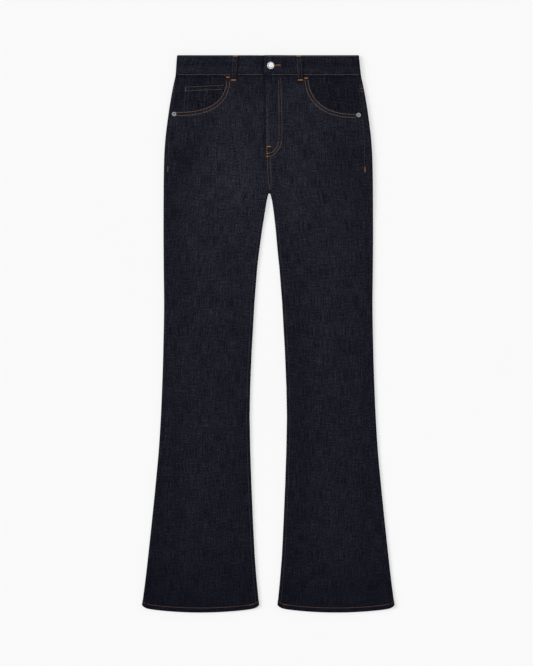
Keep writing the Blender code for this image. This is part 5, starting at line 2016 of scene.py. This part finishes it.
class ShaderKit:
    """One material's nodes: its shader, and the only method that adds others."""

    def __init__(self, name: str) -> None:
        """Starts a material with a Principled shader."""
        self.material = bpy.data.materials.new(name)
        self.material.use_nodes = True
        self.tree = self.material.node_tree
        self.shader = self.tree.nodes["Principled BSDF"]

    def node(self, kind: str, settings: dict, inputs: dict, output: str | int) -> Wire:
        """Adds a node.

        Args:
            kind: The node's type.
            settings: Its properties, or for a colour ramp "stops", each a place and a colour.
            inputs: Values or wires by the socket's name or number.
            output: The name or number of the output wanted.

        Returns:
            That output.
        """
        node = self.tree.nodes.new(kind)
        for label, value in settings.items():
            if label == "stops":
                self.fill_ramp(node.color_ramp, value)
            else:
                setattr(node, label, value)
        for label, value in inputs.items():
            self.link(node.inputs[label], value)
        return Wire(self, node.outputs[output])

    def fill_ramp(
        self, ramp_data: bpy.types.ColorRamp, stops: Sequence[tuple[float, Sequence[float]]]
    ) -> None:
        """Sets a colour ramp's stops."""
        while len(ramp_data.elements) < len(stops):
            ramp_data.elements.new(1.0)
        for element, (place, color) in zip(ramp_data.elements, stops):
            element.position = place
            element.color = (*color, 1.0)

    def link(self, socket: bpy.types.NodeSocket, value: object) -> None:
        """Links a wire to a socket, or sets the socket to a value."""
        if isinstance(value, Wire):
            self.tree.links.new(value.socket, socket)
        else:
            socket.default_value = value

    def surface(self, **inputs: object) -> bpy.types.Material:
        """Sets the shader's sockets, named with _ for a space, and returns the material."""
        for label, value in inputs.items():
            self.link(self.shader.inputs[label.replace("_", " ")], value)
        return self.material

    def uv(self, label: str) -> tuple[Wire, Wire]:
        """The two numbers of a UV map."""
        place = self.node("ShaderNodeUVMap", {"uv_map": label}, {}, "UV")
        split = self.node("ShaderNodeSeparateXYZ", {}, {"Vector": place}, "X")
        return split, Wire(self, split.socket.node.outputs["Y"])

    def object_axes(self) -> tuple[Wire, Wire, Wire]:
        """The three Object coordinates."""
        place = self.node("ShaderNodeTexCoord", {}, {}, "Object")
        split = self.node("ShaderNodeSeparateXYZ", {}, {"Vector": place}, "X")
        outputs = split.socket.node.outputs
        return split, Wire(self, outputs["Y"]), Wire(self, outputs["Z"])

    def noise(self, x: Value, y: Value, z: Value = 0.0, detail: float = 2.0, rough: float = 0.5) -> Wire:
        """A noise from 0 to 1 over three numbers, one unit being about one blotch."""
        place = self.node("ShaderNodeCombineXYZ", {}, {"X": x, "Y": y, "Z": z}, "Vector")
        sizes = {"Vector": place, "Scale": 1.0, "Detail": detail, "Roughness": rough}
        return self.node("ShaderNodeTexNoise", {"noise_dimensions": "3D"}, sizes, "Fac")

    def scaled(self, color: Wire, factor: Wire) -> Wire:
        """A colour times a number, by Vector Math."""
        inputs = {"Vector": color, "Scale": factor}
        return self.node("ShaderNodeVectorMath", {"operation": "SCALE"}, inputs, "Vector")

    def add_color(self, color: Wire, more: tuple[float, float, float]) -> Wire:
        """A colour with another added."""
        return self.node("ShaderNodeVectorMath", {"operation": "ADD"}, {0: color, 1: more}, "Vector")

    def blend(self, factor: Value, first: object, second: object) -> Wire:
        """A mix of two colours."""
        colors = [(*value, 1.0) if isinstance(value, tuple) else value for value in (first, second)]
        return self.node("ShaderNodeMix", {"data_type": "RGBA"}, {0: factor, 6: colors[0], 7: colors[1]}, 2)

    def bump(self, height: Wire, strength: float = 1.0) -> Wire:
        """A normal from a height in metres."""
        inputs = {"Height": height, "Distance": 1.0, "Strength": strength}
        return self.node("ShaderNodeBump", {}, inputs, "Normal")


@dataclass(frozen=True)
class Denim:
    """Rigid indigo denim: a fine twill with uneven yarns, duller and darker towards the hem."""

    name: str
    # share of the garment's length, and how light the cloth is there
    tones: tuple[tuple[float, float], ...]
    # a tone's colour for a lightness of 1, and the indigo that every place has besides
    neutral: tuple[float, float, float] = (1.0, 1.015, 1.257)
    indigo: tuple[float, float, float] = (0.0, 0.0, 0.0034)
    twill_pitch: float = 0.95 * MM
    twill_height: float = 0.05 * MM
    yarn: tuple[float, float] = (1.7 * MM, 30 * MM)
    fleck: tuple[float, float] = (2.1 * MM, 3.0 * MM)
    blotch: tuple[float, float] = (30 * MM, 38 * MM)
    yarn_share: float = 1.85
    weft_share: float = 1.15
    fleck_share: float = 1.8
    blotch_share: float = 0.45
    contrast: float = 0.88
    # strength of the painted light and shade of a soft lengthwise roll along a waistband
    roll: float = 0.0
    pucker_pitch: float = 6.2 * MM
    pucker_height: float = 0.16 * MM
    pucker_shade: float = 0.10
    # painted shade: how much darker it is just below the waistband, where the band shades it, and on the
    # under front beside the fly, where the fly's edge shades it
    painted_shade_below_band: float = 0.30
    painted_shade_beside_fly: float = 0.0
    # painted highlight: how much lighter the fly's folded edge is, where its fold catches the light
    rubbed_and_highlit: float = 0.0
    # how much lighter it is on the photograph's left, where the light comes from
    tilt: float = 0.55
    seed: float = 0.0

    def uneven(self, share: float, noise: "Wire") -> "Wire":
        """How much a noise lightens and darkens: 1 + contrast * share * (noise - 0.5) * 2."""
        return 1 + self.contrast * share * (noise - 0.5) * 2

    def build(self) -> bpy.types.Material:
        """The material.

        The twill is a sine across diagonal ribs. Yarns are noise drawn out along the warp, flecks
        are finer noise, and blotches are broad noise. Puckers are a sine along a seam, fading
        within a few millimetres of it. The colour is the tone at this drop times all of these.
        """
        kit = ShaderKit(self.name)
        along, drop = kit.uv("cloth")
        to_seam, to_hem = kit.uv("edges")
        level, light = kit.uv("shade")
        across, height, _ = kit.object_axes()
        yarn = kit.noise(along / self.yarn[0], drop / self.yarn[1], self.seed, 2.0, 0.55)
        slub = kit.noise(along / (0.8 * MM), drop / (11 * MM), self.seed + 3, 1.0)
        weft_yarn = kit.noise(along / (26 * MM), drop / (1.8 * MM), self.seed + 5, 2.0, 0.55)
        fleck = kit.noise(along / self.fleck[0], drop / self.fleck[1], self.seed + 7, 1.0)
        blotch = kit.noise(along / self.blotch[0], drop / self.blotch[1], self.seed + 11, 2.0, 0.6)
        wander = kit.noise(along / (24 * MM), drop / (24 * MM), self.seed + 17, 1.0)
        phase = (along * 0.82 + drop * 0.57) * (2 * math.pi / self.twill_pitch) + wander * 9.0
        twill = phase.sine() * 0.5 + 0.5
        near_seam = 1 - to_seam.step(1.5 * MM, 9 * MM)
        pucker = (drop * (2 * math.pi / self.pucker_pitch) + wander * 14.0).sine() * near_seam
        hem_pull = ((along + drop * 0.9) * (2 * math.pi / (5.4 * MM)) + wander * 10.0).sine()
        at_hem = 1 - to_hem.step(9 * MM, 14 * MM)
        share = (SIZES.length / 2 - height) / SIZES.length
        stops = tuple((place, tuple(part * light for part in self.neutral)) for place, light in self.tones)
        tone = kit.node("ShaderNodeValToRGB", {"stops": stops}, {"Fac": share}, "Color")
        # painted shade: darker towards a panel's seams and lighter in its middle, as a laid panel's camber is
        # lit
        middle = to_seam.step(2 * MM, 70 * MM)
        shade = (
            self.uneven(self.yarn_share, yarn)
            * self.uneven(self.weft_share, weft_yarn)
            * self.uneven(self.fleck_share, fleck)
            * self.uneven(self.blotch_share, blotch)
            * (0.92 + 0.13 * middle)
            * (1 + self.pucker_shade * pucker)
            * (0.94 + 0.12 * twill)
            # painted shade at folded edges, darker where the face turns from level
            * (0.45 + 0.55 * level.step(0.30, 0.95))
            # painted light and shade of the creases, from the shade map
            * light
            # painted shade just below the waistband
            * (1 - self.painted_shade_below_band * (1 - drop.step(43 * MM, 62 * MM)))
            * (1 - self.tilt * across * (1 - 1.3 * share))
        )
        # painted shade on the under front beside the fly
        if self.painted_shade_beside_fly:
            beside = (1 - along.step(8 * MM, 12 * MM)) * (1 - drop.step(185 * MM, 205 * MM))
            shade = shade * (1 - self.painted_shade_beside_fly * beside)
        # painted light and shade of the waistband's soft lengthwise roll
        if self.roll:
            rolled = self.roll * (drop * (2 * math.pi / (24 * MM)) - 6.2).sine()
            shade = shade * (1 + rolled * drop.step(4 * MM, 16 * MM))
        worn = (slub * fleck).step(0.30, 0.50) * 0.04
        dyed = kit.add_color(kit.scaled(tone, shade.at_least(0.15)), self.indigo)
        color = kit.blend(worn, dyed, (0.105, 0.106, 0.112))
        # painted highlight along the fly's folded edge, patchy and brownish like rubbed cloth
        if self.rubbed_and_highlit:
            at_edge = (1 - to_seam.step(5 * MM, 8 * MM)) * (1 - along.step(14 * MM, 18 * MM))
            down = drop.step(48 * MM, 62 * MM) * (0.45 + 0.55 * drop.step(80 * MM, 150 * MM))
            down = down * (1 - drop.step(178 * MM, 188 * MM))
            patchy = kit.noise(along / (5 * MM), drop / (8 * MM), self.seed + 23, 2.0).step(0.36, 0.62)
            color = kit.blend(self.rubbed_and_highlit * at_edge * down * patchy, color, (0.046, 0.041, 0.044))
        relief = (
            twill * self.twill_height
            + yarn * (0.10 * MM)
            + fleck * (0.05 * MM)
            + pucker * self.pucker_height
            + hem_pull * at_hem * (0.12 * MM)
        )
        return kit.surface(
            Base_Color=color,
            Roughness=0.86 + 0.10 * yarn,
            Specular_IOR_Level=0.06,
            Normal=kit.bump(relief, 0.8),
        )


@dataclass(frozen=True)
class ThreadFinish:
    """Sewing thread: two plies twisted together, with uneven dye."""

    name: str
    color: tuple[float, float, float]
    dark: tuple[float, float, float]

    def build(self) -> bpy.types.Material:
        """The material: the two colours mixed by noise, and a bump of fine diagonal plies."""
        kit = ShaderKit(self.name)
        x, y, z = kit.object_axes()
        dye = kit.noise(x / (9 * MM), y / (9 * MM), z / (9 * MM), 2.0)
        ply = ((x + y * 0.8) * (2 * math.pi / (0.42 * MM))).sine() * 0.5 + 0.5
        fuzz = kit.noise(x / (0.5 * MM), y / (0.5 * MM), z / (0.5 * MM), 1.0)
        amount = dye.step(0.3, 0.7) * 0.55 + (1 - ply) * 0.25 + fuzz * 0.2
        return kit.surface(
            Base_Color=kit.blend(amount, self.color, self.dark),
            Roughness=0.58 + 0.2 * fuzz,
            Specular_IOR_Level=0.3,
            Normal=kit.bump(ply * (0.03 * MM) + fuzz * (0.02 * MM), 0.7),
        )


@dataclass(frozen=True)
class Metal:
    """Cast and tumbled metal: brighter where it is rubbed and darker in its hollows."""

    name: str
    bright: tuple[float, float, float]
    dull: tuple[float, float, float]
    roughness: float
    low: float
    high: float

    def build(self) -> bpy.types.Material:
        """The material: dull below one height and bright above another, with fine scratches."""
        kit = ShaderKit(self.name)
        x, y, z = kit.object_axes()
        grain = kit.noise(x / (0.7 * MM), y / (0.7 * MM), z / (0.7 * MM), 3.0, 0.6)
        rubbed_and_highlit = (z + (grain - 0.5) * (0.5 * MM)).step(self.low, self.high)
        scratch = kit.noise(x / (0.25 * MM), y / (3 * MM), z / (1 * MM), 1.0)
        return kit.surface(
            Base_Color=kit.blend(rubbed_and_highlit, self.dull, self.bright),
            Metallic=1.0,
            Roughness=self.roughness + 0.22 * (1 - rubbed_and_highlit) + 0.1 * grain,
            Normal=kit.bump(grain * (0.03 * MM) + scratch * (0.01 * MM), 0.6),
        )


@dataclass(frozen=True)
class Paper:
    """The pale studio floor."""

    name: str = "studio_paper"
    color: tuple[float, float, float] = (0.80, 0.80, 0.80)

    def build(self) -> bpy.types.Material:
        """The material: a plain pale colour with an almost even noise."""
        kit = ShaderKit(self.name)
        x, y, _ = kit.object_axes()
        cloud = kit.noise(x * 3.0, y * 3.0, 0.0, 1.0)
        pale = tuple(part * 0.992 for part in self.color)
        color = kit.blend(cloud, self.color, pale)
        return kit.surface(Base_Color=color, Roughness=0.95, Specular_IOR_Level=0.0)


# share of the garment's length from its top, and how light the cloth is there
GARMENT_TONES = (
    (0.0, 0.0105), (0.2, 0.0102), (0.38, 0.0089), (0.55, 0.0077),
    (0.78, 0.0066), (0.9, 0.0058), (0.945, 0.0047), (1.0, 0.0039),
)


def tones(factor: float) -> tuple[tuple[float, float], ...]:
    """The garment's tones, lighter or darker by a factor."""
    return tuple((place, light * factor) for place, light in GARMENT_TONES)


def make_finishes() -> Finishes:
    """Every finish on the garment."""
    low = BUTTON.bottom() + BUTTON.height * 0.36
    button = Metal("button_silver", (0.255, 0.255, 0.26), (0.04, 0.04, 0.045), 0.34, low, low + 1.4 * MM)
    rivet = Metal("rivet_grey", (0.135, 0.135, 0.14), (0.05, 0.05, 0.055), 0.42, 6.0 * MM, 7.2 * MM)
    threads = (
        ("tan", (0.270, 0.158, 0.077), (0.180, 0.104, 0.055)),
        ("dim", (0.135, 0.098, 0.082), (0.075, 0.058, 0.055)),
        ("faint", (0.047, 0.038, 0.040), (0.028, 0.025, 0.029)),
        ("rust", (0.180, 0.100, 0.055), (0.105, 0.060, 0.040)),
        ("tack", (0.410, 0.178, 0.028), (0.290, 0.118, 0.022)),
    )
    plain = Denim("indigo_denim", tones(1.0))
    right = Denim("right_front_denim", tones(1.0), painted_shade_beside_fly=0.35, seed=5.0)
    left = Denim("left_front_denim", tones(1.0), rubbed_and_highlit=0.40, pucker_shade=0.22, seed=9.0)
    band = Denim(
        "waistband_denim",
        tones(0.80),
        pucker_height=0.12 * MM,
        painted_shade_below_band=0.0,
        roll=0.20,
        contrast=1.05,
        seed=31.0,
    )
    # the facing and the coin pocket are darker copies of the denim: painted shade where they lie below the
    # front's edge in the pocket's mouth
    facing = Denim("facing_denim", tones(0.63), pucker_height=0.0, painted_shade_below_band=0.12, contrast=1.1, seed=57.0)
    coin = Denim("coin_pocket_denim", tones(0.60), pucker_height=0.0, contrast=1.3, seed=71.0)
    return Finishes(
        denim=plain.build(),
        fronts={Side.RIGHT: right.build(), Side.LEFT: left.build()},
        band=band.build(),
        facing=facing.build(),
        coin=coin.build(),
        button=button.build(),
        rivet=rivet.build(),
        threads={name: ThreadFinish(f"{name}_thread", color, dark).build() for name, color, dark in threads},
    )


# ---- studio --------------------------------------------------------------------------------------
@dataclass(frozen=True)
class Studio:
    """The floor, the light and the camera, straight above as in the photograph."""

    lens: float = 120.0
    sensor: float = 36.0
    frame_height: float = 1.3380
    target: tuple[float, float] = (-0.0036, 0.0019)
    garment_top: float = 0.0065
    sky: float = 0.22
    # name, strength, height over the floor, heading it comes from and apparent size, in degrees
    suns: tuple[tuple[str, float, float, float, float], ...] = (
        ("overhead_panel", 2.32, 88.0, 100.0, 9.0),
        ("left_panel", 1.22, 37.0, 168.0, 30.0),
    )
    floor_size: float = 24.0

    def build_floor(self) -> None:
        """A level sheet of paper at height 0, which is not part of the garment."""
        half = self.floor_size / 2
        corners = np.array([[-half, -half, 0], [half, -half, 0], [half, half, 0], [-half, half, 0]])
        floor = make_mesh("floor", corners, [np.array([[0, 1, 2, 3]])])
        floor.data.materials.append(Paper().build())

    def build_light(self) -> None:
        """A weak even sky, a panel overhead and a lower one on the left, which shades right-hand edges."""
        world_data = bpy.data.worlds.new("studio_sky")
        world_data.use_nodes = True
        sky = world_data.node_tree.nodes["Background"]
        sky.inputs["Color"].default_value = (1.0, 1.0, 1.0, 1.0)
        sky.inputs["Strength"].default_value = self.sky
        bpy.context.scene.world = world_data
        for name, strength, height, heading, size in self.suns:
            light = bpy.data.lights.new(name, "SUN")
            light.energy = strength
            light.angle = math.radians(size)
            sun = bpy.data.objects.new(name, light)
            sun.rotation_euler = (math.radians(90 - height), 0.0, math.radians(heading + 90))
            bpy.context.scene.collection.objects.link(sun)

    def build_camera(self) -> None:
        """A long lens straight above: distance = lens / sensor * frame height."""
        data = bpy.data.cameras.new("camera")
        data.lens = self.lens
        data.sensor_width = self.sensor
        data.clip_end = 50.0
        camera = bpy.data.objects.new("camera", data)
        distance = self.lens / self.sensor * self.frame_height
        camera.location = (*self.target, self.garment_top + distance)
        bpy.context.scene.collection.objects.link(camera)
        bpy.context.scene.camera = camera

    def build(self) -> None:
        """All of it, with plain colours in place of a film look."""
        view = bpy.context.scene.view_settings
        view.view_transform = "Standard"
        view.look = "None"
        self.build_floor()
        self.build_light()
        self.build_camera()


def main() -> None:
    """Builds the garment's sub-assemblies in order, then the studio."""
    logging.basicConfig(level=logging.INFO, format="%(name)s: %(message)s")
    finishes = make_finishes()
    fronts, backs, pockets, loops = Fronts(), Backs(), FrontPockets(), BeltLoops()
    patches, rivets = BackPockets(), Rivets()
    for side in Side:
        fronts.build(side, finishes)
        backs.build(side, finishes)
        backs.build_yoke(side, finishes)
        pockets.build_facing(side, finishes)
        patches.build(side, finishes)
        loops.build_front(side, finishes)
        rivets.build(side, finishes)
    pockets.build_coin(finishes)
    Waistband().build(finishes)
    for index in range(len(loops.back)):
        loops.build_back(index, finishes)
    BUTTON.build(finishes)
    Stitching().build(loops, finishes)
    Studio().build()


if __name__ == "__main__":
    main()
